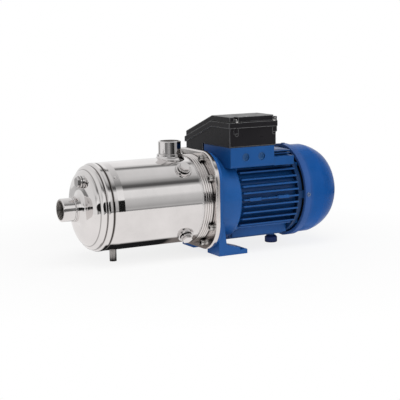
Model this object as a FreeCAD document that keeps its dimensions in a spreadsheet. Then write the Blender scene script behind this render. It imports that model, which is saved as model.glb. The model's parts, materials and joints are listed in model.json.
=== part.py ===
import FreeCAD, Part
import Sketcher
import math
import os
import re

# Horizontal multistage centrifugal pump. Row frame: X runs along the shaft from the suction mouth
# (x = 0) to the motor, -Y is the side that faces the viewer, Z is up, and the shaft axis is y = z = 0.

os.makedirs("parts", exist_ok=True)
doc = FreeCAD.newDocument("HorizontalPump")
sheet = doc.addObject("Spreadsheet::Sheet", "Sizes")

# Driving dimensions in millimetres and degrees: alias, value, what it is.
DRIVING = [
    ("shaft_height", 90, "floor to shaft axis"),
    ("fit_gap", 0.3, "clearance between parts that are slipped together"),
    ("push_gap", 0.1, "radial clearance of spigots"),
    ("edge_break", 0.9, "small rounding or bevel of edges"),
    ("run_gap", 0.5, "running clearance of impellers and slingers"),
    ("thread_gap", 0.08, "radial play of a screwed plug in its boss"),
    # Suction end
    ("port_bore_radius", 15.15, "minor radius of a one-inch pipe thread"),
    ("port_radius", 18.4, "outside radius of both port sockets"),
    ("port_thread_depth", 19, "threaded depth of both ports"),
    ("port_throat_radius", 13.2, "bore below the thread"),
    ("port_lip", 1.2, "outer chamfer at the mouth of both ports"),
    ("suction_socket_length", 30, "length of the suction socket"),
    ("neck_start", 21, "mouth to the lip of the drawn neck"),
    ("neck_lip_length", 3.5, "straight lip of the drawn neck"),
    ("neck_wall", 2, "wall of the drawn neck"),
    ("neck_base_radius", 30, "where the neck meets the front face"),
    ("neck_curve", 10, "flare radius of the neck"),
    ("face_start", 33, "mouth to the front face at the neck"),
    ("face_dish", 0.6, "dish of the front face"),
    ("face_drop", 31.5, "barrel surface down to the edge of the front face"),
    ("crown_curve", 63.9, "crown radius of the dished head"),
    ("knuckle_start", 36.5, "mouth to the start of the knuckle"),
    ("knuckle_start_drop", 16.2, "barrel surface down to the start of the knuckle"),
    ("knuckle_curve", 9.5, "radius of the knuckle"),
    ("knuckle_end", 43.1, "mouth to the end of the knuckle"),
    ("knuckle_end_drop", 9.9, "barrel surface down to the end of the knuckle"),
    ("bead_one_start", 44.6, "mouth to the start of the first bead"),
    ("bead_one_start_drop", 5.9, "barrel surface down to the start of the first bead"),
    ("bead_one_curve", 4.5, "section radius of the first bead"),
    ("bead_one_end", 51, "mouth to the end of the first bead"),
    ("bead_one_end_drop", 3.7, "barrel surface down to the end of the first bead"),
    ("bead_groove", 51.8, "mouth to the groove between the beads"),
    ("bead_groove_drop", 4.5, "barrel surface down to the groove between the beads"),
    ("bead_two_start", 52.6, "mouth to the start of the second bead"),
    ("bead_two_start_drop", 2, "barrel surface down to the start of the second bead"),
    ("bead_two_curve", 3.2, "section radius of the second bead"),
    ("bead_two_crest", 55.6, "mouth to the crest of the second bead"),
    ("bead_two_end", 62, "mouth to the weld seam behind the second bead"),
    ("seam_depth", 1.3, "depth of the weld seam groove"),
    ("seam_width", 1.3, "half width of the weld seam groove"),
    # Barrel
    ("barrel_radius", 70.5, "outside radius of the barrel"),
    ("barrel_wall", 2, "wall of the barrel"),
    ("barrel_step", 0.4, "how far the barrel is drawn in behind the seam"),
    ("barrel_step_start", 69, "mouth to the start of the barrel's cone"),
    ("barrel_step_end", 80, "mouth to the end of the barrel's cone"),
    ("port_station", 193.5, "mouth to the discharge axis"),
    ("discharge_reach", 26.8, "barrel surface to the discharge mouth"),
    ("discharge_collar_rise", 5.4, "barrel surface to the top of the collar"),
    ("discharge_collar", 3.2, "height of the collar"),
    ("discharge_collar_step", 2.6, "how far the collar stands out"),
    ("discharge_flare_radius", 26.5, "radius where the flare meets the barrel"),
    ("discharge_flare_curve", 11, "flare radius"),
    ("leg_station", 88, "mouth to the front support leg"),
    ("leg_radius", 5.6, "radius of the front support leg"),
    # Plugs
    ("fill_angle", 49, "fill plug above the near horizontal"),
    ("drain_angle", -45, "drain plug below the near horizontal"),
    ("vent_angle", 77, "vent plug above the near horizontal"),
    ("vent_margin", 5.6, "edge of the front face to the vent plug's axis"),
    ("vent_boss_height", 1.5, "boss in front of the head face"),
    ("boss_radius", 12.8, "radius of a barrel boss"),
    ("boss_height", 3.8, "boss above the barrel"),
    ("boss_depth", 9, "boss below the barrel surface"),
    ("plug_thread_radius", 7.6, "bore radius of the plug bosses"),
    ("plug_shank", 9, "length of the plug shank"),
    ("plug_flange_radius", 10, "radius of the plug flange"),
    ("plug_flange", 2, "thickness of the plug flange"),
    ("plug_hex", 7.3, "across flats of the plug head, halved"),
    ("plug_head", 4.5, "height of the plug head"),
    ("washer_thickness", 1.5, "thickness of the plug sealing ring"),
    ("washer_radius", 9.6, "outer radius of the plug sealing ring"),
    # Casing flange
    ("hub_start", 219, "mouth to the beaded hub"),
    ("hub_wall", 2.7, "wall of the beaded hub"),
    ("hub_groove", 1.3, "depth of the grooves between hub beads"),
    ("hub_beads", 4, "beads on the hub"),
    ("hub_bead_curve", 2.4, "section radius of a hub bead"),
    ("flange_start", 234.7, "mouth to the front of the casing flange"),
    ("flange_thickness", 6.5, "thickness of the casing flange"),
    ("flange_margin", 10.5, "barrel surface to the flats of the casing flange"),
    ("flange_flat", 31, "half length of the casing flange's straight edges"),
    ("flange_edge", 2.4, "rounding of the flange edge"),
    ("screw_margin", 7.3, "barrel surface to the circle of the casing screws"),
    ("screw_low_angle", 31, "lower screw above the horizontal"),
    ("screw_high_angle", 63, "upper screw above the horizontal"),
    ("screw_radius", 3, "shank radius of the casing screws"),
    ("screw_head_radius", 5, "head radius of the casing screws"),
    ("screw_head", 6, "head height of the casing screws"),
    ("screw_length", 13, "shank length of the casing screws"),
    ("screw_socket", 2.5, "hexagon recess, across flats halved"),
    # Stages
    ("stage_count", 4, "stages"),
    ("stage_start", 76, "mouth to the first stage"),
    ("stage_pitch", 30, "length of a stage"),
    ("stage_margin", 10.5, "barrel bore to the stage casings"),
    ("stage_wall", 1.6, "sheet of the stage casings"),
    ("diffuser_offset", 15.2, "stage front to the diffuser plate"),
    ("vane_count", 7, "return vanes in a stage"),
    ("vane_inner_radius", 22, "inner end of the return vanes"),
    ("vane_sweep", 48, "sweep of the return vanes"),
    ("vane_turn", 3, "thickness of a vane as an angle"),
    ("vane_curve", 34, "curve radius of the return vanes"),
    ("impeller_margin", 12, "stage casing to the impeller's rim"),
    ("impeller_offset", 3, "stage front to the impeller shroud"),
    ("impeller_width", 10.6, "over both shrouds"),
    ("shroud_wall", 1.4, "thickness of the shrouds"),
    ("impeller_hub_radius", 11, "hub radius"),
    ("eye_radius", 17, "outside radius of the impeller neck"),
    ("eye_wall", 1.5, "wall of the impeller neck"),
    ("blade_count", 6, "blades on an impeller"),
    ("blade_inner_radius", 17.5, "inner end of the blades"),
    ("blade_sweep", 62, "sweep of the blades"),
    ("blade_turn", 4, "thickness of a blade as an angle"),
    ("blade_curve", 30, "curve radius of the blades"),
    ("inlet_plate_start", 68, "mouth to the inlet plate"),
    ("cage_windows", 6, "windows in the discharge cage"),
    ("cage_window_width", 34, "width of a window"),
    ("cage_window_rim", 6, "ring left at each end of the cage"),
    # Shaft and seal
    ("shaft_tip", 64, "mouth to the tip of the shaft"),
    ("nut_start", 71, "mouth to the impeller nut"),
    ("nut_length", 8, "length of the impeller nut"),
    ("nut_half", 9, "across flats of the nut, halved"),
    ("thread_radius", 6, "thread radius at the shaft tip"),
    ("pump_shaft_radius", 7, "shaft radius under the impellers"),
    ("seal_shaft_radius", 8, "shaft radius under the seal"),
    ("front_journal", 10, "shaft radius in the front bearing"),
    ("rotor_journal", 13, "shaft radius under the rotor"),
    ("rear_journal", 8.5, "shaft radius in the rear bearing"),
    ("fan_journal", 7, "shaft radius under the fan"),
    ("seal_plate_depth", 10, "how far the seal plate reaches into the barrel"),
    ("seal_plate_web", 2.6, "thickness of the seal plate"),
    ("seal_plate_rim", 9, "radial width of the seal plate rim"),
    ("seat_radius", 15, "outside radius of the seal seat"),
    ("seat_length", 6, "length of the seal seat"),
    ("seat_bore", 9.5, "bore of the seal seat"),
    ("seat_hub_wall", 4, "wall round the seal seat"),
    ("seal_face_length", 4, "length of the turning seal ring"),
    ("seal_face_radius", 13, "radius of the turning seal ring"),
    ("seal_head_length", 16, "length of the seal bellows"),
    ("seal_head_radius", 14.5, "radius of the seal bellows"),
    ("seal_film", 0.05, "film between the seal faces"),
    ("cord_radius", 1.8, "section radius of the casing ring"),
    ("slinger_radius", 16, "radius of the slinger"),
    ("slinger_length", 3, "length of the slinger"),
    # Bracket
    ("bracket_setback", 2.5, "how far the bracket flange stands back from the casing flange"),
    ("bracket_flange", 6.5, "thickness of the bracket flange"),
    ("skirt_margin", 1.5, "barrel surface to the bracket skirt"),
    ("skirt_end", 290, "mouth to the joint of bracket and housing"),
    ("skirt_round", 6, "rounding at the end of the skirt"),
    ("diaphragm_start", 261, "mouth to the bracket diaphragm"),
    ("diaphragm", 6, "thickness of the diaphragm"),
    ("bearing_hub_wall", 5, "wall round both bearings"),
    ("bearing_lip", 4, "shoulder behind both bearings"),
    ("foot_outer", 64.3, "middle plane to the outer face of a foot"),
    ("foot_inner", 24.4, "middle plane to the inner face of a foot"),
    ("foot_front", 248, "mouth to the front of the feet"),
    ("foot_back", 301, "mouth to the tip of the feet"),
    ("foot_tip", 7.3, "thickness at the tip of a foot"),
    ("foot_root", 18, "height of a foot beside its column"),
    ("column_width", 14, "width of a column at the foot"),
    ("column_top_width", 9.5, "width of a column at the skirt"),
    ("column_top", -34, "shaft axis to the top of a column"),
    ("foot_hole_radius", 4.5, "bolt holes in the feet"),
    ("foot_hole_station", 290.5, "mouth to the bolt holes"),
    ("foot_hole_offset", 57.5, "middle plane to a bolt hole"),
    ("spot_face_radius", 7.5, "spot face round a bolt hole"),
    # Motor housing
    ("housing_end", 396, "mouth to the end of the motor housing"),
    ("housing_bore", 60, "bore of the motor housing"),
    ("housing_wall", 4, "wall of the motor housing"),
    ("fin_tip_radius", 75, "circle through the fin tips"),
    ("fin_pitch", 10.8, "spacing of the fins"),
    ("fin_thickness", 2.6, "thickness of a fin"),
    ("side_fins", 4, "fins above and below the middle one"),
    ("bottom_fins", 3, "fins each side of the lowest one"),
    ("pad_front", 267.3, "mouth to the front of the box seat"),
    ("pad_back", 350.2, "mouth to the back of the box seat"),
    ("pad_near", 70.6, "middle plane to the near face of the seat"),
    ("pad_far", 18, "middle plane to the far face of the seat"),
    ("pad_height", 33.8, "height of the seat's near face"),
    ("pad_top", 86.2, "shaft axis to the top of the seat"),
    ("pad_corner", 4, "rounding of the seat"),
    ("channel_radius", 6, "radius of the cable channel through the seat"),
    ("channel_station", 298, "mouth to the cable channel"),
    ("channel_offset", -18, "middle plane to the cable channel"),
    ("tail_end", 389, "mouth to the end of the ribbed tail"),
    ("tail_near", 50, "middle plane to the near face of the ribbed tail"),
    ("tail_drop", 10.2, "top of the seat down to the ribbed tail"),
    ("tail_setback", 1, "how far the tail's ledge stands back from the seat"),
    ("tail_ledge", 14.4, "height of the tail's ledge"),
    ("tail_rib", 8, "length of the ribs on the tail"),
    ("tail_rib_start", 17, "bottom edge of the seat to the first rib"),
    ("tail_rib_width", 1.8, "thickness of a rib"),
    ("tail_pitch", 4.2, "spacing of the ribs on the tail"),
    ("tail_ribs", 2, "ribs on the tail"),
    ("entry_drop", 16.4, "top of the seat down to the cable entries"),
    ("entry_station", 296, "mouth to the first cable entry"),
    ("entry_pitch", 30, "between the cable entries"),
    ("entry_radius", 6.2, "radius of a cable entry"),
    ("entry_depth", 8, "depth of a cable entry"),
    ("entry_recess", 2.6, "how deep a blind plug sits in its entry"),
    ("entry_web", 3, "thickness of the web inside a blind plug's rim"),
    ("entry_rim", 1.5, "rim of a blind plug"),
    ("rest_station", 387, "mouth to the rear rest"),
    ("rest_radius", 10.7, "radius of the rear rest"),
    ("rest_height", 12, "height of the rear rest"),
    ("rest_neck_radius", 5.9, "neck of the rear rest"),
    ("rest_stud_radius", 3, "moulded stud of the rear rest"),
    ("rest_stud", 7, "length of the moulded stud"),
    ("lug_length", 22, "length of the drilled lugs on the middle fin"),
    ("lug_height", 5, "height of the drilled lugs"),
    ("lug_depth", 7, "depth of the drilled lugs"),
    ("lug_first", 311, "mouth to the first lug"),
    ("lug_second", 366, "mouth to the second lug"),
    # Motor insides
    ("front_bearing_start", 268, "mouth to the front bearing"),
    ("front_bearing_radius", 23.5, "outside radius of the front bearing"),
    ("front_bearing_width", 14, "width of the front bearing"),
    ("rear_bearing_start", 389, "mouth to the rear bearing"),
    ("rear_bearing_radius", 20, "outside radius of the rear bearing"),
    ("rear_bearing_width", 12, "width of the rear bearing"),
    ("race_share", 0.3, "share of a bearing's height in each race"),
    ("ball_share", 0.27, "ball radius as a share of a bearing's height"),
    ("ball_play", 0.06, "play between balls and races"),
    ("ball_count", 8, "balls in a bearing"),
    ("core_start", 300, "mouth to the stator core"),
    ("core_length", 76, "length of the stator core"),
    ("stator_bore", 35, "bore of the stator core"),
    ("air_gap", 0.4, "between rotor and stator"),
    ("slot_count", 24, "slots in the stator core"),
    ("slot_width", 4.4, "width of a slot"),
    ("slot_depth", 13, "depth of a slot"),
    ("slot_lip", 1.2, "tooth tip in front of a slot"),
    ("winding_overhang", 14, "length of the end turns"),
    ("end_ring_length", 9, "length of the rotor's end rings"),
    ("end_ring_radius", 24, "inner radius of the rotor's end rings"),
    # Rear end
    ("endshield_thickness", 8, "thickness of the rear end shield"),
    ("endshield_margin", 4, "fan cover surface to the rim of the end shield"),
    ("spigot_length", 4, "spigot of the end shield in the housing"),
    ("spigot_wall", 5, "wall of the spigot"),
    ("post_length", 22, "length of the posts that carry the fan cover"),
    ("post_width", 13, "width of a post"),
    ("post_depth", 8, "radial depth of a post"),
    ("tie_margin", 3.6, "foot of the fins to the circle of the tie bolts"),
    ("tie_count", 4, "tie bolts"),
    ("tie_angle", 45, "first tie bolt above the horizontal"),
    ("tie_radius", 2.4, "shank radius of the tie bolts"),
    ("tie_head_radius", 4.2, "head radius of the tie bolts"),
    ("tie_ear_radius", 4.6, "ears on the bracket for the tie bolts"),
    ("tie_ear", 14, "length of the ears"),
    ("tie_head", 4, "head height of the tie bolts"),
    ("tie_thread", 10, "thread of the tie bolts in the bracket"),
    ("cover_start", 407, "mouth to the fan cover's front edge"),
    ("cover_end", 490, "mouth to the end of the fan cover"),
    ("cover_radius", 76, "outside radius of the fan cover"),
    ("cover_lip_step", 3, "how far the cover's front lip stands out"),
    ("cover_lip", 11, "length of the cover's front lip"),
    ("cover_wall", 2.4, "wall of the fan cover"),
    ("cover_taper", 29, "length of the fan cover's taper"),
    ("cover_taper_curve", 70, "section radius of the taper"),
    ("cover_crown", 15, "end of the taper to the fan cover's rear face"),
    ("cover_knee_drop", 13.4, "fall of the taper"),
    ("cover_knee_curve", 42, "section radius between the taper and the rear face"),
    ("cover_face_drop", 46, "cover surface down to the flat of the rear face"),
    ("grille_inner", 11, "inner radius of the first ring of slots"),
    ("grille_split", 29, "bar between the two rings of slots"),
    ("grille_margin", 24, "cover surface to the second ring of slots"),
    ("grille_bar", 2.6, "half width of the bar between the rings"),
    ("grille_slot", 4.2, "width of a slot"),
    ("grille_inner_count", 9, "slots in the first ring"),
    ("grille_outer_count", 18, "slots in the second ring"),
    ("cover_screw_radius", 2, "shank radius of the cover screws"),
    ("cover_screw_head_radius", 3.4, "head radius of the cover screws"),
    ("cover_screw_head", 1.2, "head height of the cover screws"),
    ("cover_screw_length", 12, "shank length of the cover screws"),
    ("cover_screw_inset", 5.5, "cover edge to its screws"),
    ("cover_screw_count", 4, "screws and posts of the fan cover"),
    ("fan_start", 424, "mouth to the fan"),
    ("fan_length", 22, "length of the fan"),
    ("fan_margin", 13.6, "bore of the fan cover to the fan"),
    ("fan_tip", 12, "how far the blades stand out of the fan's disc"),
    ("fan_hub_radius", 14, "hub radius of the fan"),
    ("fan_wall", 3, "thickness of the fan's disc and blades"),
    ("fan_blades", 7, "blades on the fan"),
    ("clip_thickness", 1.2, "thickness of the fan's retaining ring"),
    ("clip_width", 3, "radial width of the retaining ring"),
    # Terminal box
    ("box_front", 264, "mouth to the front of the terminal box"),
    ("box_back", 355.4, "mouth to the back of the terminal box"),
    ("box_far", 81, "middle plane to the far side of the terminal box"),
    ("box_height", 49.5, "seat to the top of the lid"),
    ("box_break", -12.5, "middle plane to where the lid starts to slope"),
    ("box_fall", 33.1, "fall of the lid to its far edge"),
    ("box_sink", 12.2, "top of the seat down to the bottom of the far part"),
    ("box_wall", 2.6, "wall of the terminal box"),
    ("lid_depth", 7.8, "height of the lid's side"),
    ("rim_step", 2.2, "how far the rim band stands out"),
    ("gasket_thickness", 1.2, "thickness of both box gaskets"),
    ("gasket_width", 5, "width of both box gaskets"),
    ("lid_screw_radius", 2, "shank radius of the lid screws"),
    ("lid_screw_head_radius", 3.6, "head radius of the lid screws"),
    ("lid_screw_head", 2.2, "head height of the lid screws"),
    ("lid_screw_socket", 1.4, "hexagon recess of the lid screws, across flats halved"),
    ("lid_screw_first", 278, "mouth to the front lid screws"),
    ("lid_screw_second", 351.4, "mouth to the back lid screws"),
    ("lid_screw_shift", 7.5, "how far the far back screw stands forward of the near one"),
    ("lid_screw_inset", 5.7, "rim band to the near lid screws"),
    ("lid_screw_far_inset", 14.2, "rim band to the far lid screws"),
    ("lid_screw_drop", 5.6, "lid top down to the seats of the lid screws"),
    ("lid_screw_length", 18, "shank length of the lid screws"),
    ("pillar_radius", 5.4, "radius of the screw pillars"),
    ("rim_band", 8.8, "height of the box's rim band"),
    ("board_length", 44, "length of the terminal board"),
    ("board_width", 30, "width of the terminal board"),
    ("board_height", 8, "height of the terminal board"),
    ("stud_radius", 2.2, "radius of a terminal stud"),
    ("stud_height", 9, "height of a terminal stud"),
    ("stud_pitch", 14, "between terminal studs"),
    ("capacitor_radius", 11, "radius of the run capacitor"),
    ("capacitor_length", 60, "length of the run capacitor"),
    ("capacitor_offset", 40, "middle plane to the capacitor"),
]

# Sizes that follow from the driving ones.
DERIVED = [
    ("barrel_bore", "barrel_radius - barrel_wall", "bore of the barrel"),
    ("face_radius", "barrel_radius - face_drop", "edge of the front face"),
    ("vent_circle", "face_radius + vent_margin", "shaft axis to the vent plug"),
    ("discharge_height", "barrel_radius + discharge_reach", "shaft axis to the discharge mouth"),
    ("discharge_collar_top", "barrel_radius + discharge_collar_rise", "top of the discharge collar"),
    ("flange_half", "barrel_radius + flange_margin", "half width of the casing flange"),
    ("flange_corner", "flange_half - flange_flat", "corner radius of the casing flange"),
    ("screw_circle", "barrel_radius + screw_margin", "circle of the casing screws"),
    ("bracket_half", "flange_half - bracket_setback", "half width of the bracket flange"),
    ("bracket_corner", "flange_corner - bracket_setback", "corner radius of the bracket flange"),
    ("skirt_radius", "barrel_radius + skirt_margin", "outside radius of the bracket skirt"),
    ("stage_radius", "barrel_bore - stage_margin", "outside radius of the stage casings"),
    ("impeller_radius", "stage_radius - impeller_margin", "outside radius of the impellers"),
    ("neck_lip_radius", "port_radius + neck_wall", "outside radius of the neck's lip"),
    ("face_edge", "face_start + face_dish", "front face at the start of the corner"),
    ("flange_end", "flange_start + flange_thickness", "joint of casing and bracket"),
    ("boss_seat", "barrel_radius + boss_height", "shaft axis to the face of a boss"),
    ("vent_seat", "face_edge - vent_boss_height", "mouth to the face of the vent boss"),
    ("stage_end", "stage_start + stage_count * stage_pitch", "end of the last stage"),
    ("seal_plate_start", "flange_end - seal_plate_depth", "front of the seal plate"),
    ("seat_start", "seal_plate_start - seat_length / 2", "front of the seal seat"),
    ("seal_face_end", "seat_start - seal_film", "rear of the turning seal ring"),
    ("seal_face_start", "seal_face_end - seal_face_length", "front of the turning seal ring"),
    ("seal_head_start", "seal_face_start - seal_head_length", "front of the bellows"),
    ("spacer_end", "stage_end + impeller_offset", "end of the impeller stack"),
    ("nut_end", "nut_start + nut_length", "rear face of the impeller nut"),
    ("housing_root", "housing_bore + housing_wall", "radius at the foot of the fins"),
    ("tie_circle", "housing_root + tie_margin", "circle of the tie bolts"),
    ("pad_bottom", "pad_top - pad_height", "bottom edge of the box seat"),
    ("tail_top", "pad_top - tail_drop", "top of the ribbed tail"),
    ("entry_height", "pad_top - entry_drop", "shaft axis to the cable entries"),
    ("core_end", "core_start + core_length", "end of the stator core"),
    ("rotor_radius", "stator_bore - air_gap", "outside radius of the rotor"),
    ("front_bearing_end", "front_bearing_start + front_bearing_width", "rear of the front bearing"),
    ("rear_bearing_end", "rear_bearing_start + rear_bearing_width", "rear of the rear bearing"),
    ("endshield_end", "housing_end + endshield_thickness", "rear face of the end shield"),
    ("fan_end", "fan_start + fan_length", "end of the fan"),
    ("shaft_end", "fan_end + clip_thickness + fan_wall", "motor end of the shaft"),
    ("cover_bore", "cover_radius - cover_wall", "bore of the fan cover"),
    ("cover_lip_radius", "cover_radius + cover_lip_step", "outside radius of the cover's front lip"),
    ("cover_knee", "cover_end - cover_crown", "mouth to the end of the fan cover's taper"),
    ("cover_shoulder", "cover_knee - cover_taper", "mouth to the start of the fan cover's taper"),
    ("endshield_radius", "cover_radius - endshield_margin", "radius of the rear end shield"),
    ("fan_radius", "cover_bore - fan_margin", "radius of the fan"),
    ("fan_disc_radius", "fan_radius - fan_tip", "radius of the fan's disc"),
    ("grille_outer", "cover_radius - grille_margin", "outer radius of the second ring of slots"),
    ("seat_top", "pad_top + gasket_thickness", "underside of the terminal box"),
    ("box_near", "pad_near + rim_step", "middle plane to the near side of the terminal box"),
    ("box_top", "pad_top + box_height", "shaft axis to the top of the lid"),
    ("box_far_bottom", "pad_top - box_sink", "shaft axis to the bottom of the box's far part"),
    ("lid_slope", "box_fall / (box_far - box_break)", "fall of the lid per millimetre"),
    ("rim_drop", "lid_depth + gasket_thickness", "lid surface to the box's rim"),
]
ALIASES = [row[0] for row in DRIVING + DERIVED]
NAME_PATTERN = re.compile(r"\b(" + "|".join(sorted(ALIASES, key=len, reverse=True)) + r")\b")


def link(expression):
    """Turns alias names in an expression into references to the sheet."""
    return NAME_PATTERN.sub(r"Sizes.\1", str(expression))


def fill_sheet():
    """Writes one row for each size: its name, its value and what it is."""
    for row, (alias, value, note) in enumerate(DRIVING + DERIVED, start=1):
        sheet.set("A%d" % row, alias)
        sheet.set("B%d" % row, str(value) if row <= len(DRIVING) else "=" + value)
        sheet.set("C%d" % row, note)
        sheet.setAlias("B%d" % row, alias)
    doc.recompute()


def size(expression):
    """The number that an expression of sheet names stands for."""
    return float(sheet.evalExpression(link(expression)))


def bind(item, prop, expression):
    item.setExpression(prop, link(expression))


def origin_part(body, role):
    """An axis or plane of a body's own origin."""
    return [part for part in body.Origin.OriginFeatures if part.Role == role][0]


def new_body(name, x="0", y="0", z="0", turn=None):
    """A body named after its piece; turn is a rotation in degrees about an axis: (axis, angle)."""
    body = doc.addObject("PartDesign::Body", name)
    body.Label = name
    if turn:
        axis, angle = turn
        body.Placement = FreeCAD.Placement(FreeCAD.Vector(), FreeCAD.Rotation(axis, size(angle)))
    for prop, expression in (("x", x), ("y", y), ("z", z)):
        if expression != "0":
            bind(body, "Placement.Base." + prop, expression)
    return body


def new_sketch(body, name, plane, offset="0"):
    sketch = body.newObject("Sketcher::SketchObject", name)
    sketch.AttachmentSupport = [(origin_part(body, plane), "")]
    sketch.MapMode = "FlatFace"
    if offset != "0":
        bind(sketch, "AttachmentOffset.Base.z", offset)
    return sketch


def arc_between(start, end, radius, side):
    """Arc from start to end that bulges to the left (side 1) or the right (side -1)."""
    middle = (start + end) * 0.5
    half = (end - start).Length / 2
    along = (end - start).normalize()
    left = FreeCAD.Vector(-along.y, along.x, 0)
    rise = math.sqrt(max(radius * radius - half * half, 0))
    centre = middle - left * (side * rise)
    crown = centre + left * (side * radius)
    return Part.Arc(start, crown, end)


def draw_outline(sketch, corners):
    """Closed outline. A corner is (u, v), or (u, v, radius, side) where an arc leads to the next."""
    first = sketch.GeometryCount
    points = [FreeCAD.Vector(size(corner[0]), size(corner[1]), 0) for corner in corners]
    count = len(corners)
    curves = []
    for number, corner in enumerate(corners):
        start = points[number]
        end = points[(number + 1) % count]
        if len(corner) == 4:
            curves.append(arc_between(start, end, size(corner[2]), corner[3]))
        else:
            curves.append(Part.LineSegment(start, end))
    sketch.addGeometry(curves, False)
    ends = []
    for number, corner in enumerate(corners):
        backwards = len(corner) == 4 and corner[3] == 1
        ends.append((2, 1) if backwards else (1, 2))
    for number in range(count):
        after = (number + 1) % count
        sketch.addConstraint(Sketcher.Constraint(
            "Coincident", first + number, ends[number][1], first + after, ends[after][0]))
    for number, corner in enumerate(corners):
        for kind, expression, value in (
                ("DistanceX", corner[0], points[number].x), ("DistanceY", corner[1], points[number].y)):
            constraint = sketch.addConstraint(Sketcher.Constraint(
                kind, -1, 1, first + number, ends[number][0], value))
            bind(sketch, "Constraints[%d]" % constraint, expression)
        if len(corner) == 4:
            constraint = sketch.addConstraint(Sketcher.Constraint(
                "Radius", first + number, size(corner[2])))
            bind(sketch, "Constraints[%d]" % constraint, corner[2])


def draw_circle(sketch, u, v, radius):
    centre = FreeCAD.Vector(size(u), size(v), 0)
    circle = sketch.addGeometry(Part.Circle(centre, FreeCAD.Vector(0, 0, 1), size(radius)), False)
    for kind, expression, value in (("DistanceX", u, centre.x), ("DistanceY", v, centre.y)):
        constraint = sketch.addConstraint(Sketcher.Constraint(kind, -1, 1, circle, 3, value))
        bind(sketch, "Constraints[%d]" % constraint, expression)
    constraint = sketch.addConstraint(Sketcher.Constraint("Radius", circle, size(radius)))
    bind(sketch, "Constraints[%d]" % constraint, radius)


def turned(body, kind, name, corners, axis="X_Axis", plane="XZ_Plane"):
    """Revolution or Groove of an outline given as (along the axis, radius)."""
    sketch = new_sketch(body, name + "_profile", plane)
    draw_outline(sketch, corners)
    feature = body.newObject("PartDesign::" + kind, name)
    feature.Profile = sketch
    feature.ReferenceAxis = (origin_part(body, axis), [""])
    feature.Angle = 360
    doc.recompute()
    return feature


def revolve(body, name, corners, **options):
    return turned(body, "Revolution", name, corners, **options)


def groove(body, name, corners, **options):
    return turned(body, "Groove", name, corners, **options)


def ring(start, end, inner, outer):
    """Outline of a plain ring for revolve and groove."""
    return [(start, inner), (start, outer), (end, outer), (end, inner)]


def extruded(body, kind, name, plane, draw, length, offset="0", both=False, reverse=False):
    """Pad or Pocket of what draw puts in the sketch."""
    sketch = new_sketch(body, name + "_profile", plane, offset)
    draw(sketch)
    feature = body.newObject("PartDesign::" + kind, name)
    feature.Profile = sketch
    feature.Midplane = both
    feature.Reversed = reverse
    if length:
        bind(feature, "Length", length)
    else:
        feature.Type = 1
    doc.recompute()
    return feature


def pad(body, name, plane, draw, length, **options):
    return extruded(body, "Pad", name, plane, draw, length, **options)


def pocket(body, name, plane, draw, length, **options):
    return extruded(body, "Pocket", name, plane, draw, length, **options)


def shape_of(corners):
    return lambda sketch: draw_outline(sketch, corners)


def disc_of(u, v, radius):
    return lambda sketch: draw_circle(sketch, u, v, radius)


def rectangle(left, low, right, high):
    return shape_of([(left, low), (right, low), (right, high), (left, high)])


def polar(body, name, features, axis, count, angle=360):
    pattern = body.newObject("PartDesign::PolarPattern", name)
    pattern.Originals = features
    pattern.Axis = (origin_part(body, axis), [""])
    pattern.Angle = angle
    bind(pattern, "Occurrences", count)
    body.Tip = pattern
    doc.recompute()
    return pattern


def linear(body, name, features, axis, length, count, reverse=False):
    pattern = body.newObject("PartDesign::LinearPattern", name)
    pattern.Originals = features
    pattern.Direction = (origin_part(body, axis), [""])
    pattern.Reversed = reverse
    bind(pattern, "Length", length)
    bind(pattern, "Occurrences", count)
    body.Tip = pattern
    doc.recompute()
    return pattern


def mirror(body, name, features, plane):
    mirrored = body.newObject("PartDesign::Mirrored", name)
    mirrored.Originals = features
    mirrored.MirrorPlane = (origin_part(body, plane), [""])
    body.Tip = mirrored
    doc.recompute()
    return mirrored


def dress(body, kind, name, prop, amount, chosen):
    """Fillet or Chamfer of the edges of the last feature for which chosen(edge) is true."""
    base = body.Tip
    edges = []
    for number, edge in enumerate(base.Shape.Edges, start=1):
        if chosen(edge):
            edges.append("Edge%d" % number)
    feature = body.newObject("PartDesign::" + kind, name)
    feature.Base = (base, edges)
    bind(feature, prop, amount)
    doc.recompute()
    return feature


def fillet(body, name, radius, chosen):
    return dress(body, "Fillet", name, "Radius", radius, chosen)


def chamfer(body, name, width, chosen):
    return dress(body, "Chamfer", name, "Size", width, chosen)


def circle_at(*places):
    """Chooses round edges about the X axis by their station and radius."""
    wanted = [(size(x), size(radius)) for x, radius in places]

    def chosen(edge):
        if not isinstance(edge.Curve, Part.Circle):
            return False
        centre = edge.Curve.Center
        return any(abs(centre.x - x) < 0.001 and abs(edge.Curve.Radius - radius) < 0.001
                   and math.hypot(centre.y, centre.z) < 0.001 for x, radius in wanted)
    return chosen


def straight_through(axis, *places):
    """Chooses straight edges along an axis by the two other coordinates of their middle."""
    wanted = [tuple(size(value) for value in place) for place in places]

    def chosen(edge):
        if not isinstance(edge.Curve, (Part.Line, Part.LineSegment)):
            return False
        run = edge.Vertexes[-1].Point - edge.Vertexes[0].Point
        if abs(abs(run[axis]) - run.Length) > 0.001:
            return False
        middle = edge.CenterOfMass
        rest = [middle[number] for number in range(3) if number != axis]
        return any(math.dist(rest, place) < 0.01 for place in wanted)
    return chosen


def radial_placement(x, angle, height):
    """Placement whose Z axis points away from the shaft at an angle above the near horizontal."""
    turn = FreeCAD.Rotation(FreeCAD.Vector(1, 0, 0), size("90 - (%s)" % angle))
    away = turn.multVec(FreeCAD.Vector(0, 0, 1))
    return FreeCAD.Placement(FreeCAD.Vector(size(x), 0, 0) + away * size(height), turn)


def straight_placement(x, y, z, direction):
    """Placement at a point whose Z axis points in the direction."""
    turn = FreeCAD.Rotation(FreeCAD.Vector(0, 0, 1), FreeCAD.Vector(*direction))
    return FreeCAD.Placement(FreeCAD.Vector(size(x), size(y), size(z)), turn)


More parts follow.
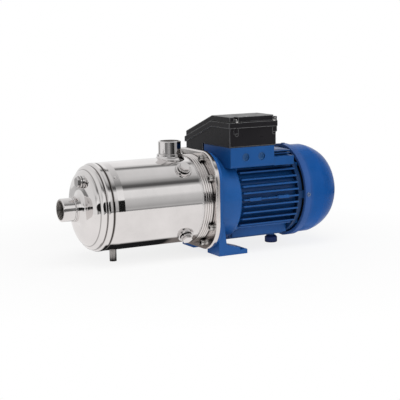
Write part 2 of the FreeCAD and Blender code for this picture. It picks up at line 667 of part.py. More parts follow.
def screw_group(name, places, shank_radius, shank_length, head_radius, head_height, socket):
    """Cap screws as one group: each has its head above its placement and its shank below."""
    screws = []
    for number, place in enumerate(places, start=1):
        head = doc.addObject("Part::Cylinder", "%s_head_%d" % (name, number))
        bind(head, "Radius", head_radius)
        bind(head, "Height", head_height)
        head.Placement = place
        shank = doc.addObject("Part::Cylinder", "%s_shank_%d" % (name, number))
        bind(shank, "Radius", shank_radius)
        bind(shank, "Height", shank_length)
        shank.Placement = place.multiply(FreeCAD.Placement(
            FreeCAD.Vector(0, 0, -size(shank_length)), FreeCAD.Rotation()))
        blank = doc.addObject("Part::Fuse", "%s_blank_%d" % (name, number))
        blank.Base = head
        blank.Tool = shank
        recess = doc.addObject("Part::Prism", "%s_recess_%d" % (name, number))
        recess.Polygon = 6
        bind(recess, "Circumradius", "(%s) / cos(30)" % socket)
        bind(recess, "Height", "(%s) / 2" % head_height)
        recess.Placement = place.multiply(FreeCAD.Placement(
            FreeCAD.Vector(0, 0, size(head_height) / 2), FreeCAD.Rotation()))
        screw = doc.addObject("Part::Cut", "%s_%d" % (name, number))
        screw.Base = blank
        screw.Tool = recess
        screws.append(screw)
    group = doc.addObject("Part::Compound", name)
    group.Label = name
    group.Links = screws
    doc.recompute()
    return group


def square_plate(half):
    return rectangle("-" + half, "-" + half, half, half)


def square_edges(half):
    corners = [("%s%s" % (left, half), "%s%s" % (low, half)) for left in ("-", "") for low in ("-", "")]
    return straight_through(0, *corners)


# Pump casing


def make_suction_socket():
    body = new_body("suction_socket")
    revolve(body, "socket", [
        ("0", "port_bore_radius"),
        ("0", "port_radius - port_lip"),
        ("port_lip", "port_radius"),
        ("suction_socket_length", "port_radius"),
        ("suction_socket_length", "port_throat_radius"),
        ("port_thread_depth", "port_throat_radius"),
        ("port_thread_depth", "port_bore_radius"),
    ])
    return body


def make_suction_head():
    """Dished head with its drawn neck, two beads and half of the weld seam."""
    body = new_body("suction_head")
    revolve(body, "head", [
        ("neck_start", "port_radius"),
        ("neck_start", "neck_lip_radius"),
        ("neck_start + neck_lip_length", "neck_lip_radius", "neck_curve", -1),
        ("face_start", "neck_base_radius"),
        ("face_edge", "face_radius", "crown_curve", 1),
        ("knuckle_start", "barrel_radius - knuckle_start_drop", "knuckle_curve", 1),
        ("knuckle_end", "barrel_radius - knuckle_end_drop"),
        ("bead_one_start", "barrel_radius - bead_one_start_drop", "bead_one_curve", 1),
        ("bead_one_end", "barrel_radius - bead_one_end_drop"),
        ("bead_groove", "barrel_radius - bead_groove_drop"),
        ("bead_two_start", "barrel_radius - bead_two_start_drop", "bead_two_curve", 1),
        ("bead_two_crest", "barrel_radius"),
        ("bead_two_end - seam_width", "barrel_radius"),
        ("bead_two_end", "barrel_radius - seam_depth"),
        ("bead_two_end", "barrel_bore"),
        ("bead_two_crest", "barrel_bore"),
        ("bead_two_start", "barrel_bore - bead_groove_drop"),
        ("bead_one_start + barrel_wall", "barrel_bore - bead_groove_drop"),
        ("knuckle_end + barrel_wall", "barrel_bore - knuckle_end_drop"),
        ("knuckle_end", "barrel_bore - knuckle_end_drop", "knuckle_curve - barrel_wall", -1),
        ("knuckle_start + barrel_wall", "barrel_radius - knuckle_start_drop", "crown_curve", -1),
        ("face_edge + barrel_wall", "face_radius"),
        ("face_start + barrel_wall", "neck_base_radius"),
        ("suction_socket_length", "port_radius + neck_wall / 2"),
        ("suction_socket_length", "port_radius"),
    ])
    pocket(body, "vent_hole", "YZ_Plane",
           disc_of("-vent_circle * cos(vent_angle)", "vent_circle * sin(vent_angle)", "plug_flange_radius"),
           "boss_depth + boss_height", offset="vent_seat", reverse=True)
    return body


def make_barrel():
    """Rolled barrel with its three holes."""
    body = new_body("barrel_shell")
    revolve(body, "barrel", [
        ("bead_two_end", "barrel_bore"),
        ("bead_two_end", "barrel_radius - seam_depth"),
        ("bead_two_end + seam_width", "barrel_radius - barrel_step"),
        ("barrel_step_start", "barrel_radius - barrel_step"),
        ("barrel_step_end", "barrel_radius"),
        ("flange_end", "barrel_radius"),
        ("flange_end", "barrel_bore"),
    ])
    pocket(body, "discharge_hole", "XY_Plane", disc_of("port_station", "0", "port_throat_radius"),
           None, reverse=True)
    for name, angle in (("fill", "fill_angle"), ("drain", "drain_angle")):
        hole = pocket(body, name + "_hole", "XY_Plane", disc_of("port_station", "0", "boss_radius"),
                      None, reverse=True)
        turn = FreeCAD.Rotation(FreeCAD.Vector(1, 0, 0), size("90 - (%s)" % angle))
        hole.Profile[0].AttachmentOffset = FreeCAD.Placement(FreeCAD.Vector(), turn)
        doc.recompute()
    return body


def make_discharge_socket():
    body = new_body("discharge_socket", x="port_station")
    revolve(body, "socket", [
        ("port_radius", "discharge_height - port_lip"),
        ("port_radius - port_lip", "discharge_height"),
        ("port_bore_radius", "discharge_height"),
        ("port_bore_radius", "discharge_height - port_thread_depth"),
        ("port_throat_radius", "discharge_height - port_thread_depth"),
        ("port_throat_radius", "0"),
        ("discharge_flare_radius", "0"),
        ("discharge_flare_radius", "barrel_radius - discharge_collar", "discharge_flare_curve", 1),
        ("port_radius + discharge_collar_step", "discharge_collar_top - discharge_collar"),
        ("port_radius + discharge_collar_step", "discharge_collar_top"),
        ("port_radius", "discharge_collar_top"),
    ], axis="Z_Axis")
    groove(body, "saddle", ring("-port_station", "port_station", "0", "barrel_radius"))
    return body


def make_support_leg():
    body = new_body("front_support_leg", x="leg_station")
    pad(body, "leg", "XY_Plane", disc_of("0", "0", "leg_radius"), "shaft_height", reverse=True)
    groove(body, "saddle", ring("-leg_station", "leg_station", "0", "barrel_radius"))
    return body


def make_rear_flange():
    """Casing flange: a beaded hub welded round the barrel and a rounded square plate."""
    body = new_body("rear_flange")
    pad(body, "plate", "YZ_Plane", square_plate("flange_half"), "flange_thickness", offset="flange_start")
    fillet(body, "plate_corners", "flange_corner", square_edges("flange_half"))
    plate = body.Tip

    def front_rim(edge):
        inside = math.hypot(edge.CenterOfMass.y, edge.CenterOfMass.z) > size("barrel_radius")
        return inside and abs(edge.CenterOfMass.x - size("flange_start")) < 0.001
    fillet(body, "plate_rim", "flange_edge", front_rim)
    level = "barrel_radius + hub_wall - hub_groove"
    outline = [("hub_start", "barrel_radius")]
    for number in range(int(size("hub_beads"))):
        start = "hub_start + %d * (flange_start - hub_start) / hub_beads" % number
        outline.append((start, level, "hub_bead_curve", 1))
    outline.append(("flange_start", level))
    outline.append(("flange_start + flange_edge", level))
    outline.append(("flange_start + flange_edge", "barrel_radius"))
    revolve(body, "hub", outline)
    groove(body, "bore", ring("hub_start - flange_edge", "flange_end + flange_edge", "0", "barrel_radius"))
    add_screw_holes(body, "flange_start - flange_edge", "flange_thickness + flange_edge * 2",
                    "screw_radius + fit_gap")
    return body


def screw_spots():
    """The (y, z) places of the eight casing screws as expressions."""
    spots = []
    for angle in ("screw_low_angle", "screw_high_angle"):
        for side in ("-", ""):
            for level in ("-", ""):
                y = "%sscrew_circle * cos(%s)" % (side, angle)
                spots.append((y, "%sscrew_circle * sin(%s)" % (level, angle)))
    return spots


def add_screw_holes(body, start, length, radius):
    def draw(sketch):
        for y, z in screw_spots():
            draw_circle(sketch, y, z, radius)
    pocket(body, "screw_holes", "YZ_Plane", draw, length, offset=start, reverse=True)


def make_casing_bosses():
    """Screwed bosses of the fill, drain and vent plugs, each welded into the casing."""
    bosses = []
    for name, place in plug_places():
        outer = doc.addObject("Part::Cylinder", name + "_boss_blank")
        bind(outer, "Radius", "plug_flange_radius" if name == "vent" else "boss_radius")
        bind(outer, "Height", "boss_depth + boss_height")
        inner = doc.addObject("Part::Cylinder", name + "_boss_thread")
        bind(inner, "Radius", "plug_thread_radius")
        bind(inner, "Height", "boss_depth + boss_height")
        for solid in (outer, inner):
            solid.Placement = place.multiply(FreeCAD.Placement(
                FreeCAD.Vector(0, 0, -size("boss_depth + boss_height")), FreeCAD.Rotation()))
        boss = doc.addObject("Part::Cut", name + "_boss")
        boss.Base = outer
        boss.Tool = inner
        bosses.append(boss)
    group = doc.addObject("Part::Compound", "casing_bosses")
    group.Label = "casing_bosses"
    group.Links = bosses
    doc.recompute()
    return group


def plug_places():
    """Plug name, and the placement whose Z axis points out of its boss, at the boss face."""
    vent = straight_placement("vent_seat", "-vent_circle * cos(vent_angle)",
                              "vent_circle * sin(vent_angle)", (-1, 0, 0))
    return [
        ("fill", radial_placement("port_station", "fill_angle", "boss_seat")),
        ("drain", radial_placement("port_station", "drain_angle", "boss_seat")),
        ("vent", vent),
    ]


def make_plug(name, place):
    """Hexagon-headed plug: shank in the boss, flange on the sealing ring, head above."""
    body = new_body(name)
    body.Placement = place
    revolve(body, "shank", [
        ("0", "-plug_shank"),
        ("0", "washer_thickness + plug_flange"),
        ("plug_flange_radius", "washer_thickness + plug_flange"),
        ("plug_flange_radius", "washer_thickness"),
        ("plug_thread_radius - thread_gap", "washer_thickness"),
        ("plug_thread_radius - thread_gap", "-plug_shank"),
    ], axis="Z_Axis")
    corners = []
    for number in range(6):
        corners.append(("plug_hex / cos(30) * cos(%d)" % (60 * number),
                        "plug_hex / cos(30) * sin(%d)" % (60 * number)))
    pad(body, "head", "XY_Plane", shape_of(corners), "plug_head", offset="washer_thickness + plug_flange")
    return body


def make_sealing_ring(name, place):
    body = new_body(name)
    body.Placement = place
    revolve(body, "washer", [
        ("plug_thread_radius + fit_gap", "0"),
        ("plug_thread_radius + fit_gap", "washer_thickness"),
        ("washer_radius", "washer_thickness"),
        ("washer_radius", "0"),
    ], axis="Z_Axis")
    return body


def make_casing_screws():
    places = []
    for y, z in screw_spots():
        places.append(straight_placement("flange_start", y, z, (-1, 0, 0)))
    return screw_group("casing_screws", places, "screw_radius", "screw_length",
                       "screw_head_radius", "screw_head", "screw_socket")


# Stages


def swept_blade(inner, outer, sweep, turn, curve):
    """Outline of a curved blade between two circles, seen along the shaft."""
    return [
        (inner, "0", curve, -1),
        ("%s * cos(%s)" % (outer, sweep), "%s * sin(%s)" % (outer, sweep)),
        ("%s * cos(%s + %s)" % (outer, sweep, turn),
         "%s * sin(%s + %s)" % (outer, sweep, turn), curve, 1),
        ("%s * cos(%s)" % (inner, turn), "%s * sin(%s)" % (inner, turn)),
    ]


def make_stage_casing(number):
    """Cup with an eye in its front wall and a return plate carried by curved vanes."""
    body = new_body("stage_casing_%d" % number, x="stage_start + %d * stage_pitch" % (number - 1))
    revolve(body, "cup", [
        ("0", "eye_radius + run_gap"),
        ("0", "stage_radius"),
        ("stage_pitch", "stage_radius"),
        ("stage_pitch", "stage_radius - stage_wall"),
        ("stage_wall", "stage_radius - stage_wall"),
        ("stage_wall", "eye_radius + run_gap"),
    ])
    blade = swept_blade("vane_inner_radius", "(stage_radius - stage_wall / 2)",
                        "vane_sweep", "vane_turn", "vane_curve")
    vane = pad(body, "vane", "YZ_Plane", shape_of(blade),
               "stage_pitch - diffuser_offset - stage_wall / 2 - run_gap",
               offset="diffuser_offset + stage_wall / 2")
    polar(body, "vanes", [vane], "X_Axis", "vane_count")
    revolve(body, "return_plate", ring("diffuser_offset", "diffuser_offset + stage_wall",
                                       "impeller_hub_radius + run_gap", "impeller_radius + run_gap"))
    return body


def make_impeller(number):
    """Closed impeller: neck and front shroud, curved blades, back shroud on the hub."""
    body = new_body("impeller_%d" % number,
                    x="stage_start + %d * stage_pitch + impeller_offset" % (number - 1))
    revolve(body, "back_shroud", [
        ("0", "pump_shaft_radius"),
        ("0", "impeller_hub_radius"),
        ("impeller_width - shroud_wall", "impeller_hub_radius"),
        ("impeller_width - shroud_wall", "impeller_radius"),
        ("impeller_width", "impeller_radius"),
        ("impeller_width", "pump_shaft_radius"),
    ])
    blade = swept_blade("blade_inner_radius", "impeller_radius", "blade_sweep", "blade_turn", "blade_curve")
    first = pad(body, "blade", "YZ_Plane", shape_of(blade),
                "impeller_width - shroud_wall", offset="shroud_wall / 2")
    polar(body, "blades", [first], "X_Axis", "blade_count")
    revolve(body, "front_shroud", [
        ("-impeller_offset - eye_wall / 2", "eye_radius - eye_wall"),
        ("-impeller_offset - eye_wall / 2", "eye_radius"),
        ("0", "eye_radius"),
        ("0", "impeller_radius"),
        ("shroud_wall", "impeller_radius"),
        ("shroud_wall", "eye_radius - eye_wall"),
    ])
    return body


def make_spacers():
    """Sleeves between the impeller hubs, one behind each impeller."""
    body = new_body("impeller_spacers")
    first = revolve(body, "spacer", ring(
        "stage_start + impeller_offset + impeller_width", "stage_start + impeller_offset + stage_pitch",
        "pump_shaft_radius", "impeller_hub_radius"))
    linear(body, "spacers", [first], "X_Axis", "stage_pitch * (stage_count - 1)", "stage_count")
    return body


def make_inlet_plate():
    """Wall between the suction chamber and the discharge annulus."""
    body = new_body("inlet_plate")
    revolve(body, "plate", [
        ("inlet_plate_start", "barrel_bore - stage_wall"),
        ("inlet_plate_start", "barrel_bore - push_gap"),
        ("stage_start - stage_wall", "barrel_bore - push_gap"),
        ("stage_start - stage_wall", "stage_radius"),
        ("stage_start", "stage_radius"),
        ("stage_start", "stage_radius - stage_wall * 2"),
        ("stage_start - stage_wall", "stage_radius - stage_wall * 2"),
        ("stage_start - stage_wall", "eye_radius + stage_wall * 2"),
        ("stage_start - stage_wall * 2", "eye_radius + stage_wall * 2"),
        ("stage_start - stage_wall * 2", "barrel_bore - stage_wall"),
    ])
    return body


def make_discharge_cage():
    """Windowed ring that presses the stages together and lets the water out."""
    body = new_body("discharge_cage")
    revolve(body, "ring", ring("stage_end", "seal_plate_start", "stage_radius - stage_wall", "stage_radius"))
    window = pocket(body, "window", "XY_Plane",
                    rectangle("stage_end + cage_window_rim", "-cage_window_width / 2",
                              "seal_plate_start - cage_window_rim", "cage_window_width / 2"),
                    "stage_radius + stage_wall", reverse=True)
    polar(body, "windows", [window], "X_Axis", "cage_windows")
    return body


# Shaft and seal


def make_shaft():
    """One stepped shaft for the pump and the motor."""
    body = new_body("pump_shaft")
    steps = [
        ("shaft_tip", "thread_radius"),
        ("nut_end", "pump_shaft_radius"),
        ("spacer_end", "seal_shaft_radius"),
        ("front_bearing_start", "front_journal"),
        ("front_bearing_end", "rotor_journal"),
        ("rear_bearing_start", "rear_journal"),
        ("rear_bearing_end", "fan_journal"),
    ]
    corners = [("shaft_tip", "0")]
    for number, (station, radius) in enumerate(steps):
        corners.append((station, radius))
        following = steps[number + 1][0] if number + 1 < len(steps) else "shaft_end"
        corners.append((following, radius))
    corners.append(("shaft_end", "0"))
    revolve(body, "shaft", corners)
    chamfer(body, "ends", "edge_break",
            circle_at(("shaft_tip", "thread_radius"), ("shaft_end", "fan_journal")))
    return body


def make_impeller_nut():
    body = new_body("impeller_nut")
    corners = []
    for number in range(6):
        corners.append(("nut_half / cos(30) * cos(%d)" % (60 * number),
                        "nut_half / cos(30) * sin(%d)" % (60 * number)))
    pad(body, "nut", "YZ_Plane", shape_of(corners), "nut_length", offset="nut_start")
    revolve(body, "collar", ring("nut_start + nut_length * 3 / 4", "nut_start + nut_length",
                                 "thread_radius / 2", "impeller_hub_radius"))
    groove(body, "thread", ring("nut_start - nut_length", "nut_start + nut_length * 2",
                                "0", "thread_radius"))
    return body


def make_seal_plate():
    """Rear cover of the casing: rim with a groove for the casing ring, web and seat pocket."""
    body = new_body("seal_plate")
    web_start = "flange_end - seal_plate_web"
    revolve(body, "plate", [
        ("seal_plate_start", "barrel_bore - push_gap - seal_plate_rim"),
        ("seal_plate_start", "barrel_bore - push_gap"),
        ("flange_end", "barrel_bore - push_gap"),
        ("flange_end", "seat_bore"),
        (web_start, "seat_bore"),
        (web_start, "seat_radius"),
        ("seat_start", "seat_radius"),
        ("seat_start", "seat_radius + seat_hub_wall"),
        (web_start, "seat_radius + seat_hub_wall"),
        (web_start, "barrel_bore - push_gap - seal_plate_rim"),
    ])
    groove(body, "ring_groove", ring(
        "seal_plate_start + seal_plate_depth / 2 - cord_radius",
        "seal_plate_start + seal_plate_depth / 2 + cord_radius",
        "barrel_bore - cord_radius * 2", "barrel_radius"))
    return body


def make_casing_ring():
    body = new_body("casing_o_ring", x="seal_plate_start + seal_plate_depth / 2")
    sketch = new_sketch(body, "section", "XZ_Plane")
    draw_circle(sketch, "0", "barrel_bore - cord_radius", "cord_radius")
    feature = body.newObject("PartDesign::Revolution", "cord")
    feature.Profile = sketch
    feature.ReferenceAxis = (origin_part(body, "X_Axis"), [""])
    feature.Angle = 360
    doc.recompute()
    return body


def make_seal_seat():
    body = new_body("seal_seat")
    revolve(body, "seat", ring("seat_start", "flange_end - seal_plate_web", "seat_bore", "seat_radius"))
    return body


def make_seal_face():
    body = new_body("seal_face")
    revolve(body, "face", ring("seal_face_start", "seal_face_end", "seal_shaft_radius", "seal_face_radius"))
    return body


def make_seal_bellows():
    """Rubber bellows between the turning seal ring and the impeller stack."""
    body = new_body("seal_bellows")
    revolve(body, "bellows", [
        ("spacer_end", "seal_shaft_radius"),
        ("spacer_end", "impeller_hub_radius"),
        ("seal_head_start", "impeller_hub_radius"),
        ("seal_head_start", "seal_head_radius"),
        ("seal_head_start + seal_head_length / 4", "seal_head_radius"),
        ("seal_head_start + seal_head_length / 2", "impeller_hub_radius"),
        ("seal_head_start + seal_head_length * 3 / 4", "seal_head_radius"),
        ("seal_face_start", "seal_head_radius"),
        ("seal_face_start", "seal_shaft_radius"),
    ])
    return body


def make_slinger():
    body = new_body("shaft_slinger")
    start = "flange_end + slinger_length"
    revolve(body, "slinger", [
        (start, "seal_shaft_radius"),
        (start, "slinger_radius"),
        (start + " + slinger_length / 2", "slinger_radius"),
        (start + " + slinger_length", "seal_shaft_radius + slinger_length"),
        (start + " + slinger_length * 2", "seal_shaft_radius + slinger_length"),
        (start + " + slinger_length * 2", "seal_shaft_radius"),
    ])
    return body


# Motor bracket


def make_motor_bracket():
    """Cast bracket: square flange, skirt, diaphragm with bearing hub, and two feet."""
    body = new_body("motor_bracket")
    pad(body, "plate", "YZ_Plane", square_plate("bracket_half"), "bracket_flange", offset="flange_end")
    fillet(body, "plate_corners", "bracket_corner", square_edges("bracket_half"))
    revolve(body, "skirt", ring("flange_end", "skirt_end", "0", "skirt_radius"))
    fillet(body, "skirt_shoulder", "skirt_round", circle_at(("skirt_end", "skirt_radius")))
    ear = pad(body, "ear", "YZ_Plane",
              disc_of("tie_circle * cos(tie_angle)", "tie_circle * sin(tie_angle)", "tie_ear_radius"),
              "tie_ear", offset="skirt_end - tie_ear")
    polar(body, "ears", [ear], "X_Axis", "tie_count")
    foot = pad(body, "foot", "XZ_Plane", shape_of([
        ("foot_front", "-shaft_height"),
        ("foot_back", "-shaft_height"),
        ("foot_back", "-shaft_height + foot_tip"),
        ("foot_front + column_width", "-shaft_height + foot_root"),
        ("foot_front + column_top_width", "column_top"),
        ("foot_front", "column_top"),
    ]), "foot_outer - foot_inner", offset="foot_inner")
    mirror(body, "far_foot", [foot], "XZ_Plane")
    groove(body, "lantern", ring("flange_end", "diaphragm_start", "0", "housing_bore"))
    hub = "front_bearing_radius + bearing_hub_wall"
    groove(body, "winding_room", [
        ("diaphragm_start + diaphragm", hub),
        ("diaphragm_start + diaphragm", "housing_bore"),
        ("skirt_end", "housing_bore"),
        ("skirt_end", "0"),
        ("front_bearing_end", "0"),
        ("front_bearing_end", hub),
    ])
    groove(body, "shaft_hole", ring("diaphragm_start", "front_bearing_start",
                                    "0", "front_bearing_radius - bearing_lip"))
    groove(body, "bearing_seat", ring("front_bearing_start", "front_bearing_end",
                                      "0", "front_bearing_radius"))
    add_screw_holes(body, "flange_end", "bracket_flange", "screw_radius")

    def feet_circles(radius):
        def draw(sketch):
            draw_circle(sketch, "foot_hole_station", "foot_hole_offset", radius)
            draw_circle(sketch, "foot_hole_station", "-foot_hole_offset", radius)
        return draw
    pocket(body, "foot_holes", "XY_Plane", feet_circles("foot_hole_radius"), "foot_root",
           offset="-shaft_height", reverse=True)
    pocket(body, "spot_faces", "XY_Plane", feet_circles("spot_face_radius"), "foot_root",
           offset="-shaft_height + foot_tip", reverse=True)
    tie_hole = pocket(body, "tie_hole", "YZ_Plane",
                      disc_of("tie_circle * cos(tie_angle)", "tie_circle * sin(tie_angle)", "tie_radius"),
                      "tie_thread", offset="skirt_end")
    polar(body, "tie_holes", [tie_hole], "X_Axis", "tie_count")
    return body


# Motor


def make_housing():
    """Finned aluminium housing with the seat of the terminal box and the boss of the rear rest."""
    body = new_body("stator_housing")
    revolve(body, "core", ring("skirt_end", "housing_end", "0", "housing_root"))

    def fins(sketch):
        half = "fin_thickness / 2"
        for number in range(-int(size("side_fins")), int(size("side_fins")) + 1):
            level = "%d * fin_pitch" % number
            tip = "sqrt(fin_tip_radius ^ 2 - (%s) ^ 2)" % level
            rectangle("-" + tip, "%s - %s" % (level, half), tip, "%s + %s" % (level, half))(sketch)

    def low_fins(sketch):
        half = "fin_thickness / 2"
        for number in range(-int(size("bottom_fins")), int(size("bottom_fins")) + 1):
            place = "%d * fin_pitch" % number
            tip = "sqrt(fin_tip_radius ^ 2 - (%s) ^ 2)" % place
            root = "sqrt((housing_bore + housing_wall / 2) ^ 2 - (%s) ^ 2)" % place
            rectangle("%s - %s" % (place, half), "-" + tip, "%s + %s" % (place, half), "-" + root)(sketch)
    pad(body, "side_fins_pad", "YZ_Plane", fins, "housing_end - skirt_end", offset="skirt_end")
    pad(body, "low_fins_pad", "YZ_Plane", low_fins, "housing_end - skirt_end", offset="skirt_end")
    pad(body, "seat", "YZ_Plane", rectangle("-pad_near", "pad_bottom", "pad_far", "pad_top"),
        "pad_back - pad_front", offset="pad_front")
    fillet(body, "seat_edges", "pad_corner", straight_through(0, ("-pad_near", "pad_bottom")))
    pad(body, "tail", "YZ_Plane", rectangle("-tail_near", "pad_bottom", "pad_far", "tail_top"),
        "tail_end - pad_back", offset="pad_back")
    pad(body, "tail_ledge_pad", "YZ_Plane",
        rectangle("-pad_near + tail_setback", "pad_bottom", "-housing_bore / 2", "pad_bottom + tail_ledge"),
        "tail_end - pad_back", offset="pad_back")
    rib = pad(body, "tail_rib_pad", "YZ_Plane",
              rectangle("-tail_near - tail_rib", "pad_bottom + tail_rib_start", "-housing_bore / 2",
                        "pad_bottom + tail_rib_start + tail_rib_width"),
              "tail_end - pad_back", offset="pad_back")
    linear(body, "tail_ribs_pattern", [rib], "Z_Axis", "tail_pitch * (tail_ribs - 1)", "tail_ribs")

    def lugs(sketch):
        for station in ("lug_first", "lug_second"):
            rectangle("%s - lug_length / 2" % station, "-lug_height / 2",
                      "%s + lug_length / 2" % station, "lug_height / 2")(sketch)
    pad(body, "lugs", "XZ_Plane", lugs, "lug_depth", offset="fin_tip_radius - lug_depth + fit_gap")
    pad(body, "rest_boss", "XY_Plane", disc_of("rest_station", "0", "rest_neck_radius"),
        "shaft_height - rest_height - housing_bore - housing_wall / 2", offset="-shaft_height + rest_height")
    pocket(body, "rest_hole", "XY_Plane", disc_of("rest_station", "0", "rest_stud_radius"),
           "rest_stud + fit_gap", offset="-shaft_height + rest_height", reverse=True)

    def entries(sketch):
        for number in range(2):
            draw_circle(sketch, "entry_station + %d * entry_pitch" % number, "entry_height", "entry_radius")
    pocket(body, "entries", "XZ_Plane", entries, "entry_depth", offset="pad_near")
    pocket(body, "channel", "XY_Plane", disc_of("channel_station", "channel_offset", "channel_radius"),
           "pad_top - housing_bore / 2", offset="pad_top")
    groove(body, "bore", ring("skirt_end", "housing_end", "0", "housing_bore"))
    groove(body, "nose", ring("pad_front - fit_gap", "skirt_end", "0", "skirt_radius + fit_gap"))
    return body


def slot_shape(play):
    inner = "stator_bore + slot_lip + %s" % play
    outer = "stator_bore + slot_lip + slot_depth - %s" % play
    return rectangle(inner, "-slot_width / 2 + " + play, outer, "slot_width / 2 - " + play)


def make_stator_core():
    body = new_body("stator_core")
    revolve(body, "stack", ring("core_start", "core_end", "stator_bore", "housing_bore"))
    slot = pocket(body, "slot", "YZ_Plane", slot_shape("0"), "core_length",
                  offset="core_start", reverse=True)
    polar(body, "slots", [slot], "X_Axis", "slot_count")
    return body


def make_windings():
    """Copper coils: bars in the slots joined by the end turns."""
    body = new_body("stator_windings")
    inner = "stator_bore + slot_lip"
    outer = "stator_bore + slot_lip + slot_depth + slot_width"
    revolve(body, "front_turns", ring("core_start - winding_overhang", "core_start", inner, outer))
    bar = pad(body, "bar", "YZ_Plane", slot_shape("fit_gap / 2"), "core_length", offset="core_start")
    polar(body, "bars", [bar], "X_Axis", "slot_count")
    revolve(body, "rear_turns", ring("core_end", "core_end + winding_overhang", inner, outer))
    return body


def make_rotor_core():
    body = new_body("rotor_core")
    revolve(body, "stack", ring("core_start", "core_end", "rotor_journal", "rotor_radius"))
    return body


def make_end_rings():
    """Short-circuit rings of the squirrel cage, one on each end of the rotor."""
    body = new_body("rotor_end_rings")
    outer = "rotor_radius - slot_lip"
    revolve(body, "front_ring", ring("core_start - end_ring_length", "core_start", "end_ring_radius", outer))
    revolve(body, "rear_ring", ring("core_end", "core_end + end_ring_length", "end_ring_radius", outer))
    return body


def bearing_values(end):
    """Names of one bearing's station, width, outer radius and journal."""
    return (end + "_bearing_start", end + "_bearing_width", end + "_bearing_radius", end + "_journal")


def make_bearing_ring(end, side):
    """Race of a bearing with its ball groove."""
    start, width, outer, journal = bearing_values(end)
    height = "(%s - %s)" % (outer, journal)
    body = new_body("%s_bearing_%s_ring" % (end, side), x=start)
    if side == "outer":
        revolve(body, "race", ring("0", width, "%s - %s * race_share" % (outer, height), outer))
    else:
        revolve(body, "race", ring("0", width, journal, "%s + %s * race_share" % (journal, height)))
    sketch = new_sketch(body, "groove_profile", "XZ_Plane")
    draw_circle(sketch, width + " / 2", "(%s + %s) / 2" % (outer, journal),
                height + " * ball_share + ball_play")
    feature = body.newObject("PartDesign::Groove", "ball_groove")
    feature.Profile = sketch
    feature.ReferenceAxis = (origin_part(body, "X_Axis"), [""])
    feature.Angle = 360
    doc.recompute()
    return body


def make_bearing_balls():
    """The balls of both bearings."""
    balls = []
    for end in ("front", "rear"):
        start, width, outer, journal = bearing_values(end)
        pitch = size("(%s + %s) / 2" % (outer, journal))
        for number in range(int(size("ball_count"))):
            angle = 2 * math.pi * number / size("ball_count")
            ball = doc.addObject("Part::Sphere", "%s_ball_%d" % (end, number + 1))
            bind(ball, "Radius", "(%s - %s) * ball_share" % (outer, journal))
            ball.Placement.Base = FreeCAD.Vector(
                size("%s + %s / 2" % (start, width)), pitch * math.cos(angle), pitch * math.sin(angle))
            balls.append(ball)
    group = doc.addObject("Part::Compound", "bearing_balls")
    group.Label = "bearing_balls"
    group.Links = balls
    doc.recompute()
    return group


def make_endshield():
    """Rear end shield: disc with spigot and bearing hub, and four posts for the fan cover."""
    body = new_body("rear_endshield")
    hub = "rear_bearing_radius + bearing_hub_wall"
    spigot = "housing_bore - push_gap"
    revolve(body, "disc", [
        ("housing_end", hub),
        ("housing_end", spigot + " - spigot_wall"),
        ("housing_end - spigot_length", spigot + " - spigot_wall"),
        ("housing_end - spigot_length", spigot),
        ("housing_end", spigot),
        ("housing_end", "endshield_radius"),
        ("endshield_end", "endshield_radius"),
        ("endshield_end", hub),
        ("rear_bearing_end + bearing_lip", hub),
        ("rear_bearing_end + bearing_lip", "rear_bearing_radius - bearing_lip"),
        ("rear_bearing_end", "rear_bearing_radius - bearing_lip"),
        ("rear_bearing_end", "rear_bearing_radius"),
        ("rear_bearing_start", "rear_bearing_radius"),
        ("rear_bearing_start", hub),
    ])
    post = pad(body, "post", "YZ_Plane",
               rectangle("cover_bore - fit_gap - post_depth", "-post_width / 2",
                         "cover_bore - fit_gap", "post_width / 2"),
               "post_length", offset="housing_end")
    polar(body, "posts", [post], "X_Axis", "cover_screw_count")
    tie_hole = pocket(body, "tie_hole", "YZ_Plane",
                      disc_of("tie_circle * cos(tie_angle)", "tie_circle * sin(tie_angle)",
                              "tie_radius + fit_gap / 2"),
                      None, offset="housing_end", reverse=True)
    polar(body, "tie_holes", [tie_hole], "X_Axis", "tie_count")
    screw_hole = pocket(body, "screw_hole", "XY_Plane",
                        disc_of("cover_start + cover_screw_inset", "0", "cover_screw_radius"),
                        "post_depth", offset="cover_bore")
    polar(body, "screw_holes", [screw_hole], "X_Axis", "cover_screw_count")
    return body


def make_tie_bolts():
    places = []
    for number in range(int(size("tie_count"))):
        angle = "tie_angle + 360 / tie_count * %d" % number
        places.append(straight_placement("endshield_end", "tie_circle * cos(%s)" % angle,
                                         "tie_circle * sin(%s)" % angle, (1, 0, 0)))
    return screw_group("motor_tie_bolts", places, "tie_radius",
                       "endshield_end - skirt_end + tie_thread - fit_gap",
                       "tie_head_radius", "tie_head", "tie_radius")


def make_fan():
    body = new_body("cooling_fan")
    revolve(body, "hub", ring("fan_start", "fan_end", "fan_journal", "fan_hub_radius"))
    blade = pad(body, "blade", "YZ_Plane",
                rectangle("fan_hub_radius - fan_wall", "-fan_wall / 2", "fan_radius", "fan_wall / 2"),
                "fan_length", offset="fan_start")
    polar(body, "blades", [blade], "X_Axis", "fan_blades")
    revolve(body, "disc", ring("fan_start", "fan_start + fan_wall",
                               "fan_hub_radius - fan_wall", "fan_disc_radius"))
    return body


def make_fan_clip():
    body = new_body("fan_clip")
    revolve(body, "clip", ring("fan_end", "fan_end + clip_thickness",
                               "fan_journal", "fan_journal + clip_width"))
    return body


